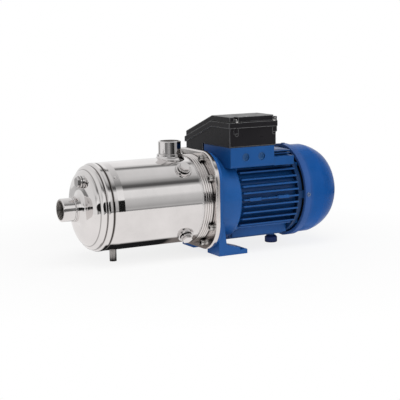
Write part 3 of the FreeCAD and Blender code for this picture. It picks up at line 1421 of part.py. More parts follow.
def make_fan_cover():
    """Moulded cowl with a front lip, a large rear radius and two rings of slots."""
    body = new_body("fan_cover")
    revolve(body, "cowl", [
        ("cover_start", "cover_bore"),
        ("cover_start", "cover_lip_radius"),
        ("cover_start + cover_lip", "cover_lip_radius"),
        ("cover_start + cover_lip + cover_wall / 2", "cover_radius"),
        ("cover_shoulder", "cover_radius", "cover_taper_curve", 1),
        ("cover_knee", "cover_radius - cover_knee_drop", "cover_knee_curve", 1),
        ("cover_end", "cover_radius - cover_face_drop"),
        ("cover_end", "0"),
        ("cover_end - cover_wall", "0"),
        ("cover_end - cover_wall", "cover_radius - cover_face_drop", "cover_knee_curve - cover_wall", -1),
        ("cover_knee - cover_wall / 2", "cover_bore - cover_knee_drop", "cover_taper_curve - cover_wall", -1),
        ("cover_shoulder - cover_wall / 4", "cover_bore"),
    ])
    inner_slot = pocket(body, "inner_slot", "YZ_Plane",
                        rectangle("grille_inner", "-grille_slot / 2",
                                  "grille_split - grille_bar", "grille_slot / 2"),
                        "cover_end - cover_shoulder", offset="cover_end + cover_wall")
    polar(body, "inner_slots", [inner_slot], "X_Axis", "grille_inner_count")
    outer_slot = pocket(body, "outer_slot", "YZ_Plane",
                        rectangle("grille_split + grille_bar", "-grille_slot / 2",
                                  "grille_outer", "grille_slot / 2"),
                        "cover_end - cover_shoulder", offset="cover_end + cover_wall")
    polar(body, "outer_slots", [outer_slot], "X_Axis", "grille_outer_count")
    screw_hole = pocket(body, "screw_hole", "XY_Plane",
                        disc_of("cover_start + cover_screw_inset", "0", "cover_screw_radius + fit_gap / 2"),
                        "cover_lip_radius", reverse=True)
    polar(body, "screw_holes", [screw_hole], "X_Axis", "cover_screw_count")
    return body


def make_cover_screws():
    places = []
    for number in range(int(size("cover_screw_count"))):
        places.append(radial_placement("cover_start + cover_screw_inset",
                                       "360 / cover_screw_count * %d" % number, "cover_lip_radius"))
    return screw_group("fan_cover_screws", places, "cover_screw_radius", "cover_screw_length",
                       "cover_screw_head_radius", "cover_screw_head", "cover_screw_radius")


def make_rear_rest():
    """Rubber rest with a moulded stud, screwed under the motor housing."""
    body = new_body("rear_rest", x="rest_station")
    top = "-shaft_height + rest_height"
    revolve(body, "rest", [
        ("0", "-shaft_height"),
        ("rest_radius - edge_break", "-shaft_height"),
        ("rest_radius", "-shaft_height + edge_break"),
        ("rest_radius", top + " - rest_height / 4"),
        ("rest_radius - rest_height / 4", top),
        ("rest_stud_radius", top),
        ("rest_stud_radius", top + " + rest_stud"),
        ("0", top + " + rest_stud"),
    ], axis="Z_Axis")
    return body


def make_entry_plugs():
    """Two blind plugs in the cable entries of the box seat."""
    body = new_body("cable_entry_plugs")

    def draw(radius):
        def both(sketch):
            for number in range(2):
                draw_circle(sketch, "entry_station + %d * entry_pitch" % number, "entry_height", radius)
        return both
    pad(body, "shanks", "XZ_Plane", draw("entry_radius"), "entry_depth - entry_recess",
        offset="pad_near - entry_recess", reverse=True)
    pocket(body, "hollows", "XZ_Plane", draw("entry_radius - entry_rim"),
           "entry_depth - entry_recess - entry_web", offset="pad_near - entry_recess")
    return body


# Terminal box


def lid_edge(out, drop):
    """Far edge of the box, wider by out, at a drop below the lid surface."""
    far = "box_far + (%s)" % out
    return (far, "box_top - lid_slope * (%s - box_break) - (%s)" % (far, drop))


def box_profile(out, top_drop, bottom):
    """Side view of the box, wider by out and lowered by top_drop; bottom lists its lower corners."""
    return [
        ("-box_near - (%s)" % out, "box_top - (%s)" % top_drop),
        ("box_break", "box_top - (%s)" % top_drop),
        lid_edge(out, top_drop),
    ] + bottom


def box_bottom(out, rise):
    """Lower corners of the box body from the far side to the near side."""
    return [
        ("box_far + (%s)" % out, "box_far_bottom + (%s)" % rise),
        ("pad_far + box_wall + (%s)" % rise, "box_far_bottom + (%s)" % rise),
        ("pad_far + box_wall + (%s)" % rise, "seat_top + (%s)" % rise),
        ("-box_near - (%s)" % out, "seat_top + (%s)" % rise),
    ]


def band(out, top_drop, low_drop):
    """Strip of the side view between two drops below the lid surface."""
    return box_profile(out, top_drop, [
        lid_edge(out, low_drop),
        ("box_break", "box_top - (%s)" % low_drop),
        ("-box_near - (%s)" % out, "box_top - (%s)" % low_drop),
    ])


def lid_screw_spots():
    """Station, offset from the middle plane and seat height of the four lid screws."""
    spots = []
    far = "box_far - lid_screw_far_inset"
    far_seat = "box_top - lid_slope * (%s - box_break) - lid_screw_drop" % far
    for near_station, far_station in (("lid_screw_first", "lid_screw_first"),
                                      ("lid_screw_second", "lid_screw_second - lid_screw_shift")):
        spots.append((near_station, "-box_near + lid_screw_inset", "box_top - lid_screw_drop"))
        spots.append((far_station, far, far_seat))
    return spots


def make_box_base():
    """Lower half of the terminal box with its rim band and screw pillars."""
    body = new_body("terminal_box_base")
    pad(body, "walls", "YZ_Plane",
        shape_of(box_profile("-rim_step", "rim_drop", box_bottom("-rim_step", "0"))),
        "box_back - box_front - rim_step * 2", offset="box_front + rim_step")
    pad(body, "rim", "YZ_Plane", shape_of(band("0", "rim_drop", "rim_drop + rim_band")),
        "box_back - box_front", offset="box_front")
    inward = "-rim_step - box_wall"
    pocket(body, "inside", "YZ_Plane",
           shape_of(box_profile(inward, "0", box_bottom(inward, "box_wall"))),
           "box_back - box_front - rim_step * 2 - box_wall * 2", offset="box_front + rim_step + box_wall",
           reverse=True)
    for number, (station, offset, seat) in enumerate(lid_screw_spots(), start=1):
        top = "%s - (rim_drop - lid_screw_drop)" % seat
        length = "lid_screw_length" if offset.startswith("-") else top + " - box_far_bottom - box_wall / 2"
        pad(body, "pillar_%d" % number, "XY_Plane", disc_of(station, offset, "pillar_radius"),
            length, offset=top, reverse=True)
        pocket(body, "pillar_hole_%d" % number, "XY_Plane",
               disc_of(station, offset, "lid_screw_radius + thread_gap"), "lid_screw_length", offset=top)
    pocket(body, "channel", "XY_Plane", disc_of("channel_station", "channel_offset", "channel_radius"),
           "box_wall", offset="seat_top", reverse=True)
    return body


def make_box_lid():
    """Sloping lid of the terminal box with recesses for its screws."""
    body = new_body("terminal_box_lid")
    pad(body, "cap", "YZ_Plane", shape_of(band("-rim_step", "0", "lid_depth")),
        "box_back - box_front - rim_step * 2", offset="box_front + rim_step")
    pocket(body, "inside", "YZ_Plane",
           shape_of(band("-rim_step - box_wall", "box_wall", "lid_depth + box_wall")),
           "box_back - box_front - rim_step * 2 - box_wall * 2", offset="box_front + rim_step + box_wall",
           reverse=True)
    for number, (station, offset, seat) in enumerate(lid_screw_spots(), start=1):
        pad(body, "pillar_%d" % number, "XY_Plane", disc_of(station, offset, "pillar_radius"),
            "lid_depth - box_wall + fit_gap", offset=seat + " + lid_screw_drop - box_wall + fit_gap",
            reverse=True)
        pocket(body, "recess_%d" % number, "XY_Plane",
               disc_of(station, offset, "lid_screw_head_radius + fit_gap * 2"),
               "lid_screw_drop * 2", offset=seat, reverse=True)
        if offset.startswith("-"):
            half = "lid_screw_head_radius + fit_gap * 2"
            pocket(body, "notch_%d" % number, "XY_Plane",
                   rectangle("%s - (%s)" % (station, half), offset + " - pillar_radius",
                             "%s + %s" % (station, half), offset),
                   "lid_screw_drop * 2", offset=seat, reverse=True)
        pocket(body, "hole_%d" % number, "XY_Plane",
               disc_of(station, offset, "lid_screw_radius + fit_gap / 2"), "lid_depth", offset=seat)
    return body


def make_lid_gasket():
    """Frame gasket between the lid and the box."""
    body = new_body("lid_gasket")
    pad(body, "frame", "YZ_Plane", shape_of(band("-rim_step", "lid_depth", "rim_drop")),
        "box_back - box_front - rim_step * 2", offset="box_front + rim_step")
    pocket(body, "opening", "YZ_Plane", shape_of(band("-rim_step - box_wall", "0", "rim_drop * 2")),
           "box_back - box_front - rim_step * 2 - box_wall * 2", offset="box_front + rim_step + box_wall",
           reverse=True)
    for number, (station, offset, seat) in enumerate(lid_screw_spots(), start=1):
        if offset.startswith("-"):
            low = seat + " + lid_screw_drop - rim_drop"
            pad(body, "ear_%d" % number, "XY_Plane", disc_of(station, offset, "pillar_radius"),
                "gasket_thickness", offset=low)
            pocket(body, "hole_%d" % number, "XY_Plane",
                   disc_of(station, offset, "lid_screw_radius + fit_gap"),
                   "gasket_thickness", offset=low, reverse=True)
    return body


def make_seat_gasket():
    body = new_body("seat_gasket")
    pad(body, "frame", "XY_Plane", rectangle("pad_front", "-pad_near", "pad_back", "pad_far"),
        "gasket_thickness", offset="pad_top")
    pocket(body, "opening", "XY_Plane",
           rectangle("pad_front + gasket_width", "-pad_near + gasket_width",
                     "pad_back - gasket_width", "pad_far - gasket_width"),
           None, offset="pad_top", reverse=True)
    return body


def make_lid_screws():
    places = [straight_placement(x, y, z, (0, 0, 1)) for x, y, z in lid_screw_spots()]
    return screw_group("lid_screws", places, "lid_screw_radius", "lid_screw_length",
                       "lid_screw_head_radius", "lid_screw_head", "lid_screw_socket")


def make_terminal_board():
    body = new_body("terminal_board")
    middle = "(box_front + box_back) / 2"
    floor = "seat_top + box_wall"
    pad(body, "board", "XY_Plane",
        rectangle(middle + " - board_length / 2", "-box_near / 2 - board_width / 2",
                  middle + " + board_length / 2", "-box_near / 2 + board_width / 2"),
        "board_height", offset=floor)
    return body


def make_terminal_studs():
    body = new_body("terminal_studs")

    def draw(sketch):
        for column in (-1, 0, 1):
            for row in (-1, 1):
                draw_circle(sketch, "(box_front + box_back) / 2 + %d * stud_pitch" % column,
                            "-box_near / 2 + %d * stud_pitch / 2" % row, "stud_radius")
    pad(body, "studs", "XY_Plane", draw, "stud_height", offset="seat_top + box_wall + board_height")
    return body


def make_capacitor():
    body = new_body("run_capacitor", y="capacitor_offset",
                    z="box_far_bottom + box_wall + capacitor_radius")
    start = "(box_front + box_back - capacitor_length) / 2"
    revolve(body, "can", ring(start, start + " + capacitor_length", "0", "capacitor_radius"))
    return body


def build_all():
    """Makes every piece and returns the list of sub-parts."""
    pieces = [
        make_suction_socket(), make_suction_head(), make_barrel(), make_discharge_socket(),
        make_support_leg(), make_rear_flange(), make_casing_bosses(), make_casing_screws(),
        make_inlet_plate(), make_discharge_cage(), make_spacers(),
        make_shaft(), make_impeller_nut(), make_seal_plate(), make_casing_ring(),
        make_seal_seat(), make_seal_face(), make_seal_bellows(), make_slinger(),
        make_motor_bracket(), make_housing(), make_stator_core(), make_windings(),
        make_rotor_core(), make_end_rings(), make_endshield(), make_tie_bolts(),
        make_fan(), make_fan_clip(), make_fan_cover(), make_cover_screws(), make_rear_rest(),
        make_entry_plugs(), make_box_base(), make_box_lid(), make_lid_gasket(), make_seat_gasket(),
        make_lid_screws(), make_terminal_board(), make_terminal_studs(), make_capacitor(),
    ]
    for name, place in plug_places():
        pieces.append(make_plug(name + "_plug", place))
        pieces.append(make_sealing_ring(name + "_plug_ring", place))
    for number in range(1, int(size("stage_count")) + 1):
        pieces.append(make_stage_casing(number))
        pieces.append(make_impeller(number))
    for end in ("front", "rear"):
        pieces.append(make_bearing_ring(end, "outer"))
        pieces.append(make_bearing_ring(end, "inner"))
    pieces.append(make_bearing_balls())
    return pieces


def check_and_write(pieces):
    """Stops on a failed feature or a bad shape, then writes one file for each sub-part."""
    doc.recompute()
    for item in doc.Objects:
        if "Invalid" in item.State or "Error" in item.State:
            raise RuntimeError("feature failed: " + item.Name)
    for piece in pieces:
        if piece.Shape.isNull() or not piece.Shape.isValid() or not piece.Shape.Solids:
            raise RuntimeError("bad shape: " + piece.Label)
    for piece in pieces:
        piece.Shape.exportStep("parts/%s.step" % piece.Label)


fill_sheet()
check_and_write(build_all())
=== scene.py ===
import bpy
import json
import math
from mathutils import Matrix, Vector


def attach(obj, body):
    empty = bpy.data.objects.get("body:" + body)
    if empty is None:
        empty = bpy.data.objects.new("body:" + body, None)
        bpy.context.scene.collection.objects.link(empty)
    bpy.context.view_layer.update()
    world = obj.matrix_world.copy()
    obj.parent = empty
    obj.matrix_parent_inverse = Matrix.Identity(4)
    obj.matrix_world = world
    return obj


# Horizontal multistage centrifugal pump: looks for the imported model. Metres, X along the shaft from
# the suction mouth, Z up, and the near side at negative Y.

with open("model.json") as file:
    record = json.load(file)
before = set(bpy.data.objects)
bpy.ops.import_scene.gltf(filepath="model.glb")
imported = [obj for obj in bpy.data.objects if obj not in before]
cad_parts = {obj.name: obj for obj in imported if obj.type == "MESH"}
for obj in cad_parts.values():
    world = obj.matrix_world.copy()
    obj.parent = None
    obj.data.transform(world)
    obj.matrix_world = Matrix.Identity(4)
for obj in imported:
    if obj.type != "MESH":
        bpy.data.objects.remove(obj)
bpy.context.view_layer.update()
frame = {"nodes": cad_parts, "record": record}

# Where the solids are, for what is drawn on them. Angles stand above the near horizontal.
BARREL_RADIUS = 0.0705
PORT_STATION = 0.1935
PORT_TOP = 0.0973
PORT_BORE = 0.0158
THREAD_PITCH = 0.002309
FILL_ANGLE = math.radians(49)
DRAIN_ANGLE = math.radians(-45)
VENT_ANGLE = math.radians(77)
FLOOR_HEIGHT = -0.0902

# A limit beyond anything in the scene, for a window that is open at one end
OPEN_END = 2.0


# Camera, at the photograph's viewing angle


def make_camera():
    place = (-0.64180, -1.64129, 0.28655)
    yaw, pitch, roll = 0.497, 0.155, -0.015
    forward = Vector((math.sin(yaw) * math.cos(pitch), math.cos(yaw) * math.cos(pitch), -math.sin(pitch)))
    right = forward.cross(Vector((0, 0, 1))).normalized()
    up = right.cross(forward)
    tilted_right = right * math.cos(roll) + up * math.sin(roll)
    tilted_up = up * math.cos(roll) - right * math.sin(roll)
    data = bpy.data.cameras.new("camera")
    data.sensor_width = 36
    data.lens = 102.24
    data.clip_start = 0.05
    data.clip_end = 40
    camera = bpy.data.objects.new("camera", data)
    bpy.context.scene.collection.objects.link(camera)
    turn = Matrix((tilted_right, tilted_up, -forward)).transposed().to_4x4()
    camera.matrix_world = Matrix.Translation(place) @ turn
    bpy.context.scene.camera = camera


# Shader nodes. A factor, colour or value may be given as a socket too.


def put(tree, socket, value):
    """Links another socket, or writes a plain value."""
    if isinstance(value, bpy.types.NodeSocket):
        tree.links.new(value, socket)
    else:
        socket.default_value = value


def add_node(tree, kind, **inputs):
    """A node with its inputs set by name, with _ for a space."""
    node = tree.nodes.new(kind)
    for name, value in inputs.items():
        put(tree, node.inputs[name.replace("_", " ")], value)
    return node


def math_node(tree, operation, *values):
    node = tree.nodes.new("ShaderNodeMath")
    node.operation = operation
    for socket, value in zip(node.inputs, values):
        put(tree, socket, value)
    return node.outputs["Value"]


def ramp(tree, factor, stops):
    """Colour ramp from a factor; stops are (position, grey) or (position, colour)."""
    node = add_node(tree, "ShaderNodeValToRGB", Fac=factor)
    elements = node.color_ramp.elements
    while len(elements) < len(stops):
        elements.new(0.5)
    for element, (position, tone) in zip(elements, stops):
        element.position = position
        colour = tone if isinstance(tone, tuple) else (tone, tone, tone)
        element.color = (*colour, 1)
    return node.outputs["Color"]


def rise(tree, value, start, end):
    """0 at start and 1 at end, straight between them and level outside; start may be the higher."""
    node = add_node(tree, "ShaderNodeMapRange", Value=value, From_Min=start, From_Max=end)
    return node.outputs["Result"]


def window(tree, value, low, high, soft):
    """1 between low and high, 0 outside, over a soft edge."""
    entry, leaving = rise(tree, value, low, low + soft), rise(tree, value, high, high - soft)
    return math_node(tree, "MULTIPLY", entry, leaving)


def mixed(tree, factor, first, second, blend="MIX"):
    """Colour mix."""
    node = tree.nodes.new("ShaderNodeMix")
    node.data_type = "RGBA"
    node.blend_type = blend
    colour_sockets = (node.inputs[0], node.inputs[6], node.inputs[7])
    for socket, value in zip(colour_sockets, (factor, first, second)):
        put(tree, socket, value)
    return node.outputs[2]


def mixed_shader(tree, factor, first, second):
    node = add_node(tree, "ShaderNodeMixShader", Fac=factor)
    tree.links.new(first, node.inputs[1])
    tree.links.new(second, node.inputs[2])
    return node.outputs["Shader"]


def axes_of(tree, vector):
    """The X, Y and Z of a vector."""
    return add_node(tree, "ShaderNodeSeparateXYZ", Vector=vector).outputs


# Light, floor and background

# Greys that reflections see above the horizon. They go by how far round a direction is, from level with
# the near side (0) over the top (0.5) to level with the far side (1).
MOTOR_END_GREYS = [
    (0.00, 0.44), (0.05, 0.56), (0.11, 0.66), (0.15, 0.88), (0.24, 0.92), (0.255, 0.60),
    (0.29, 0.10), (0.32, 0.11), (0.36, 0.36), (0.41, 0.62), (0.47, 0.71), (0.60, 0.76),
    (0.63, 0.34), (0.65, 0.14), (0.675, 0.60), (0.72, 0.94), (0.90, 0.98), (1.00, 0.84)]
SUCTION_END_GREYS = [
    (0.00, 0.012), (0.105, 0.012), (0.115, 1.0), (0.25, 0.95), (0.29, 0.40), (0.33, 0.20),
    (0.45, 0.55), (0.70, 0.80), (1.00, 0.84)]

# Greys below the horizon. They go by compass: 0 is the suction end, 0.25 the near side, 0.5 the motor
# end, 0.75 the far side and 1 the suction end again.
LOW_GREYS = [
    (0.00, 0.90), (0.03, 0.85), (0.05, 0.22), (0.09, 0.26), (0.14, 0.46), (0.17, 0.50), (0.205, 0.14),
    (0.26, 0.04), (0.31, 0.012), (0.317, 0.32), (0.40, 0.42), (0.46, 0.14), (0.64, 0.12),
    (0.68, 0.62), (0.80, 0.60), (0.825, 0.22), (0.845, 0.26), (0.87, 0.84), (1.00, 0.92)]


def make_world():
    """White for the camera; soft boxes and dark cards for reflections; a plain grey level for light."""
    world = bpy.data.worlds.new("studio")
    bpy.context.scene.world = world
    world.use_nodes = True
    tree = world.node_tree
    tree.nodes.clear()
    direction = axes_of(tree, tree.nodes.new("ShaderNodeTexCoord").outputs["Generated"])
    height = math_node(tree, "ABSOLUTE", direction["Z"])
    nearness = math_node(tree, "MULTIPLY", direction["Y"], -1.0)
    over = math_node(tree, "MULTIPLY", math_node(tree, "ARCTAN2", height, nearness), 1 / math.pi)
    motor_end_from, card_until, card_above, horizon = 0.385, -0.45, 0.30, -0.086
    suction_end = window(tree, direction["X"], -OPEN_END, motor_end_from, 0.015)
    above = mixed(tree, suction_end, ramp(tree, over, MOTOR_END_GREYS), ramp(tree, over, SUCTION_END_GREYS))
    # An even pale card stands high over the suction end
    reflected_patch = math_node(tree, "MULTIPLY", window(tree, direction["X"], -OPEN_END, card_until, 0.12),
                     window(tree, direction["Z"], card_above, OPEN_END, 0.12))
    above = mixed(tree, reflected_patch, above, (0.78, 0.78, 0.78, 1))
    bearing = math_node(tree, "ARCTAN2", direction["Y"], direction["X"])
    compass = math_node(tree, "MULTIPLY_ADD", bearing, 0.5 / math.pi, 0.5)
    low = window(tree, direction["Z"], -OPEN_END, horizon, 0.010)
    studio_greys = mixed(tree, low, above, ramp(tree, compass, LOW_GREYS))
    studio = add_node(tree, "ShaderNodeBackground", Color=studio_greys, Strength=1.0)
    plain = add_node(tree, "ShaderNodeBackground", Color=(1, 1, 1, 1), Strength=0.42)
    white = add_node(tree, "ShaderNodeBackground", Color=(1, 1, 1, 1), Strength=1.0)
    path = tree.nodes.new("ShaderNodeLightPath")
    light = mixed_shader(tree, path.outputs["Is Glossy Ray"], plain.outputs[0], studio.outputs[0])
    seen = mixed_shader(tree, path.outputs["Is Camera Ray"], light, white.outputs[0])
    add_node(tree, "ShaderNodeOutputWorld", Surface=seen)


def turns(count):
    """Angles of points spread evenly round a circle."""
    return [2 * math.pi * number / count for number in range(count)]


def make_floor():
    """Pale round floor that fades into the white background; reflections also see a painted shadow under the
    pump.
    """
    radius, sides = 0.64, 96
    vertices = [(radius * math.cos(turn), radius * math.sin(turn), 0) for turn in turns(sides)]
    mesh = bpy.data.meshes.new("floor")
    mesh.from_pydata(vertices, [], [tuple(range(sides))])
    floor = bpy.data.objects.new("floor", mesh)
    floor.location = (0.25, 0, FLOOR_HEIGHT)
    bpy.context.scene.collection.objects.link(floor)
    material = bpy.data.materials.new("floor")
    material.use_nodes = True
    tree = material.node_tree
    tree.nodes.clear()
    place = tree.nodes.new("ShaderNodeTexCoord").outputs["Object"]
    axes = axes_of(tree, place)
    # A painted shadow on the floor under the pump, darkest under the suction end and paler towards the motor,
    # which only reflections see
    shadow_start, shadow_end, shadow_near, shadow_far, paler_shadow_from = -0.20, 0.22, -0.036, 0.16, -0.068
    painted_shadow_mask = math_node(tree, "MULTIPLY", window(tree, axes["X"], shadow_start, shadow_end, 0.02),
                        window(tree, axes["Y"], shadow_near, shadow_far, 0.008))
    paler_shadow = window(tree, axes["X"], paler_shadow_from, OPEN_END, 0.012)
    reflected_patch = mixed(tree, paler_shadow, (0.012, 0.012, 0.013, 1), (0.19, 0.17, 0.16, 1))
    table = mixed(tree, painted_shadow_mask, (0.92, 0.905, 0.90, 1), reflected_patch)
    diffuse = add_node(tree, "ShaderNodeBsdfDiffuse", Color=(0.92, 0.92, 0.92, 1))
    shine = add_node(tree, "ShaderNodeEmission", Color=(1, 1, 1, 1), Strength=1.0)
    reflected = add_node(tree, "ShaderNodeEmission", Color=table, Strength=1.0)
    distance = tree.nodes.new("ShaderNodeVectorMath")
    distance.operation = "LENGTH"
    tree.links.new(place, distance.inputs[0])
    fade = ramp(tree, distance.outputs["Value"], [(0.0, 0.78), (0.30, 0.86), (0.52, 1.0)])
    surface = mixed_shader(tree, fade, diffuse.outputs[0], shine.outputs[0])
    path = tree.nodes.new("ShaderNodeLightPath")
    seen = mixed_shader(tree, path.outputs["Is Glossy Ray"], surface, reflected.outputs[0])
    add_node(tree, "ShaderNodeOutputMaterial", Surface=seen)
    mesh.materials.append(material)


def soft_box(name, place, target, width, height, power):
    """Area lamp that reflections don't show."""
    data = bpy.data.lights.new(name, "AREA")
    data.shape = "RECTANGLE"
    data.size = width
    data.size_y = height
    data.energy = power
    lamp = bpy.data.objects.new(name, data)
    lamp.location = place
    lamp.rotation_euler = (Vector(target) - Vector(place)).to_track_quat("-Z", "Y").to_euler()
    lamp.visible_glossy = False
    bpy.context.scene.collection.objects.link(lamp)


def make_lights():
    soft_box("top_box", (0.2, -0.5, 1.6), target=(0.25, 0, 0), width=1.6, height=0.9, power=13)
    soft_box("front_box", (-0.5, -1.8, 0.7), target=(0.25, 0, 0.05), width=1.0, height=1.0, power=8)
    soft_box("side_box", (1.6, -0.9, 0.6), target=(0.35, 0, 0), width=0.8, height=1.0, power=4)


# Materials

STEEL = (0.80, 0.775, 0.768)
# Colours of painted shade: in the grooves at the seams of the pressed steel, and on the near side of the
# discharge socket towards the motor
SEAM_SHADE_COLOUR = (0.045, 0.035, 0.030, 1)
SHADED_STEEL = (0.16, 0.15, 0.145, 1)

# How much darker the patches of a finish are than its colour
PATCH_TONE = 0.86

# Roughness of a cut thread, and the tones of painted shade in its bore from the mouth (0) down to
# BORE_DEPTH (1)
THREAD_ROUGHNESS = (0.34, 0.34, 0.34, 1)
BORE_DEPTH = 0.02
BORE_SHADE_TONES = [(0.0, (0.50, 0.47, 0.45)), (0.12, (0.34, 0.32, 0.30)), (0.55, (0.05, 0.045, 0.042))]

# Stations that the seams of the pressed steel, and their painted shade, lie between
SEAMS_START, SEAMS_END = 0.030, 0.070

# Finishes of metal. polish is the lowest and highest roughness, scratches and waves are how strong the
# fine and the broad unevenness is, stretch how much finer the scratches are along X, Y and Z, and hollow
# the light left in the painted shade of corners. seam_shades are (station, half width, light left there)
# of the painted shade in the grooves at the seams. bore is (axis, place across it, radius, mouth) of a
# threaded bore, whose colour is painted darker with depth as painted shade. dull is (station past which
# the polish ends, roughness there). painted_shade_side is the station past which, and the place across
# the shaft nearer than which, the steel is painted darker: painted shade.
METALS = {
    "polished_steel": dict(colour=STEEL, polish=(0.035, 0.09), scratches=0.006, waves=0.03, hollow=0.30),
    "pressed_steel": dict(
        colour=STEEL, polish=(0.030, 0.075), scratches=0.004, waves=0.03, hollow=0.55, dull=(0.2135, 0.24),
        seam_shades=[(0.0428, 0.0006, 0.45), (0.0514, 0.0007, 0.62), (0.0614, 0.0019, 0.05)]),
    "suction_steel": dict(
        colour=STEEL, polish=(0.06, 0.12), scratches=0.010, waves=0.03,
        bore=("X", (0.0, 0.0), PORT_BORE, 0.0)),
    # The near side of the discharge socket towards the motor is painted darker: painted shade
    "discharge_steel": dict(
        colour=STEEL, polish=(0.06, 0.12), scratches=0.010, waves=0.03,
        bore=("Z", (PORT_STATION, 0.0), PORT_BORE, PORT_TOP), painted_shade_side=(PORT_STATION + 0.0040, -0.007)),
    "flange_steel": dict(
        colour=(0.78, 0.745, 0.73), polish=(0.13, 0.20), scratches=0.02, waves=0.03, hollow=0.25),
    "leg_steel": dict(colour=(0.36, 0.345, 0.335), polish=(0.20, 0.30), scratches=0.04),
    "brushed_stainless": dict(colour=(0.62, 0.615, 0.60), polish=(0.22, 0.36), scratches=0.15),
    "bolt_steel": dict(colour=(0.66, 0.655, 0.64), polish=(0.16, 0.28), scratches=0.10),
    "shaft_steel": dict(colour=(0.70, 0.70, 0.69), polish=(0.14, 0.24), scratches=0.10, stretch=(1, 8, 8)),
    "bearing_steel": dict(colour=(0.75, 0.75, 0.76), polish=(0.06, 0.12), scratches=0.03),
    "lamination_steel": dict(
        colour=(0.30, 0.30, 0.31), polish=(0.38, 0.55), scratches=0.30, stretch=(6, 1, 1)),
    "copper_winding": dict(
        colour=(0.62, 0.26, 0.12), polish=(0.28, 0.42), scratches=0.35, stretch=(1, 4, 4)),
    "cast_aluminium": dict(colour=(0.66, 0.66, 0.66), polish=(0.34, 0.50), scratches=0.35),
    "terminal_brass": dict(colour=(0.78, 0.60, 0.27), polish=(0.18, 0.30), scratches=0.10),
}

# Finishes of paint, plastic, rubber and ceramic. peel is how strong the orange peel is, edge the radius
# of softened edges, edge_highlight the colour of a painted highlight on sharp edges, hollow the light left
# in the painted shade of corners, and along (first station, last station, stops) a painted shade that
# changes the tone down the shaft.
PAINTS = {
    "blue_paint": dict(colour=(0.008, 0.080, 0.280), roughness=0.34, peel=0.25, coat=0.08, hollow=0.62,
                       edge=0.0011, edge_highlight=(0.034, 0.075, 0.170)),
    # A lighter copy of the blue paint for the motor bracket: painted light where the seat shades the skirt
    "lit_bracket_blue": dict(colour=(0.010, 0.092, 0.320), roughness=0.34, peel=0.25, coat=0.08, hollow=0.9),
    # A darker copy of the blue paint for the rear end shield: painted shade between the fins and the fan
    # cover
    "shaded_shield_blue": dict(colour=(0.004, 0.034, 0.115), roughness=0.34, peel=0.20, coat=0.05, hollow=0.5),
    # The fan cover's tone down the shaft is painted shade: darker, with less of the pale sheen in its red,
    # past the knee
    "cover_blue": dict(
        colour=(0.038, 0.106, 0.325), roughness=0.26, peel=0.05, gloss=0.07,
        along=(0.407, 0.490, [
            (0.0, (0.9, 0.9, 0.9)), (0.10, (1.0, 1.0, 1.0)), (0.24, (0.22, 0.78, 0.96)),
            (0.46, (0.20, 0.76, 0.96)), (0.50, (0.10, 0.68, 0.90)), (0.80, (0.02, 0.58, 0.78)),
            (1.0, (0.02, 0.52, 0.72))])),
    "cover_screw": dict(colour=(0.012, 0.060, 0.200), roughness=0.16, peel=0.0, gloss=0.8,
                        edge_highlight=(0.45, 0.55, 0.68)),
    "black_plastic": dict(colour=(0.012, 0.011, 0.013), roughness=0.30, peel=0.0, edge=0.0017, gloss=0.13,
                          edge_highlight=(0.30, 0.30, 0.31)),
    # A pale grey for the slot outlines on the terminal box: a painted highlight
    "slot_highlight_plastic": dict(colour=(0.085, 0.085, 0.088), roughness=0.30, peel=0.0, gloss=0.4),
    "blue_plastic": dict(colour=(0.030, 0.135, 0.370), roughness=0.30, peel=0.05, gloss=0.5, hollow=0.85,
                         edge_highlight=(0.10, 0.26, 0.50)),
    "white_plastic": dict(colour=(0.72, 0.71, 0.66), roughness=0.40, peel=0.10),
    "fan_plastic": dict(colour=(0.030, 0.030, 0.032), roughness=0.46, peel=0.15),
    "black_rubber": dict(colour=(0.018, 0.018, 0.018), roughness=0.62, peel=0.35),
    "dark_blue_rubber": dict(colour=(0.012, 0.030, 0.120), roughness=0.55, peel=0.30),
    "seal_ceramic": dict(colour=(0.80, 0.78, 0.72), roughness=0.22, peel=0.05),
    "seal_carbon": dict(colour=(0.03, 0.03, 0.03), roughness=0.34, peel=0.08),
}

# Nodes whose finish isn't the one of their slot in the record
OWN_FINISH = {
    "suction_head": "pressed_steel", "barrel_shell": "pressed_steel", "suction_socket": "suction_steel",
    "discharge_socket": "discharge_steel", "rear_flange": "flange_steel", "front_support_leg": "leg_steel",
    "motor_bracket": "lit_bracket_blue", "motor_tie_bolts": "blue_paint", "rear_endshield": "shaded_shield_blue",
    "fan_cover_screws": "cover_screw", "lid_screws": "polished_steel",
}


def new_material(name, colour, metallic, roughness):
    """A principled material; returns it with its tree and shader."""
    material = bpy.data.materials.new(name)
    material.use_nodes = True
    tree = material.node_tree
    shader = tree.nodes["Principled BSDF"]
    shader.inputs["Base Color"].default_value = (*colour, 1)
    shader.inputs["Metallic"].default_value = metallic
    shader.inputs["Roughness"].default_value = roughness
    return material, tree, shader


def place_of(tree, stretch=(1, 1, 1)):
    """Object coordinates, stretched; the pieces' meshes hold their places in metres."""
    place = tree.nodes.new("ShaderNodeTexCoord").outputs["Object"]
    return add_node(tree, "ShaderNodeMapping", Vector=place, Scale=stretch).outputs["Vector"]


def noise(tree, vector, scale, detail=4.0):
    node = add_node(tree, "ShaderNodeTexNoise", Vector=vector, Scale=scale, Detail=detail, Roughness=0.55)
    return node.outputs["Fac"]


def bump(tree, height, strength, distance, normal):
    node = add_node(tree, "ShaderNodeBump", Height=height, Strength=strength, Distance=distance,
                    Normal=normal)
    return node.outputs["Normal"]


def painted_crevice_shade(tree, colour, reach, depth):
    """Paints shade into a colour where surfaces meet within reach; depth is how much light is left in that
    painted shade.
    """
    node = add_node(tree, "ShaderNodeAmbientOcclusion", Distance=reach)
    node.samples = 8
    return mixed(tree, 1.0, colour, ramp(tree, node.outputs["AO"], [(0.30, depth), (0.85, 1.0)]), "MULTIPLY")


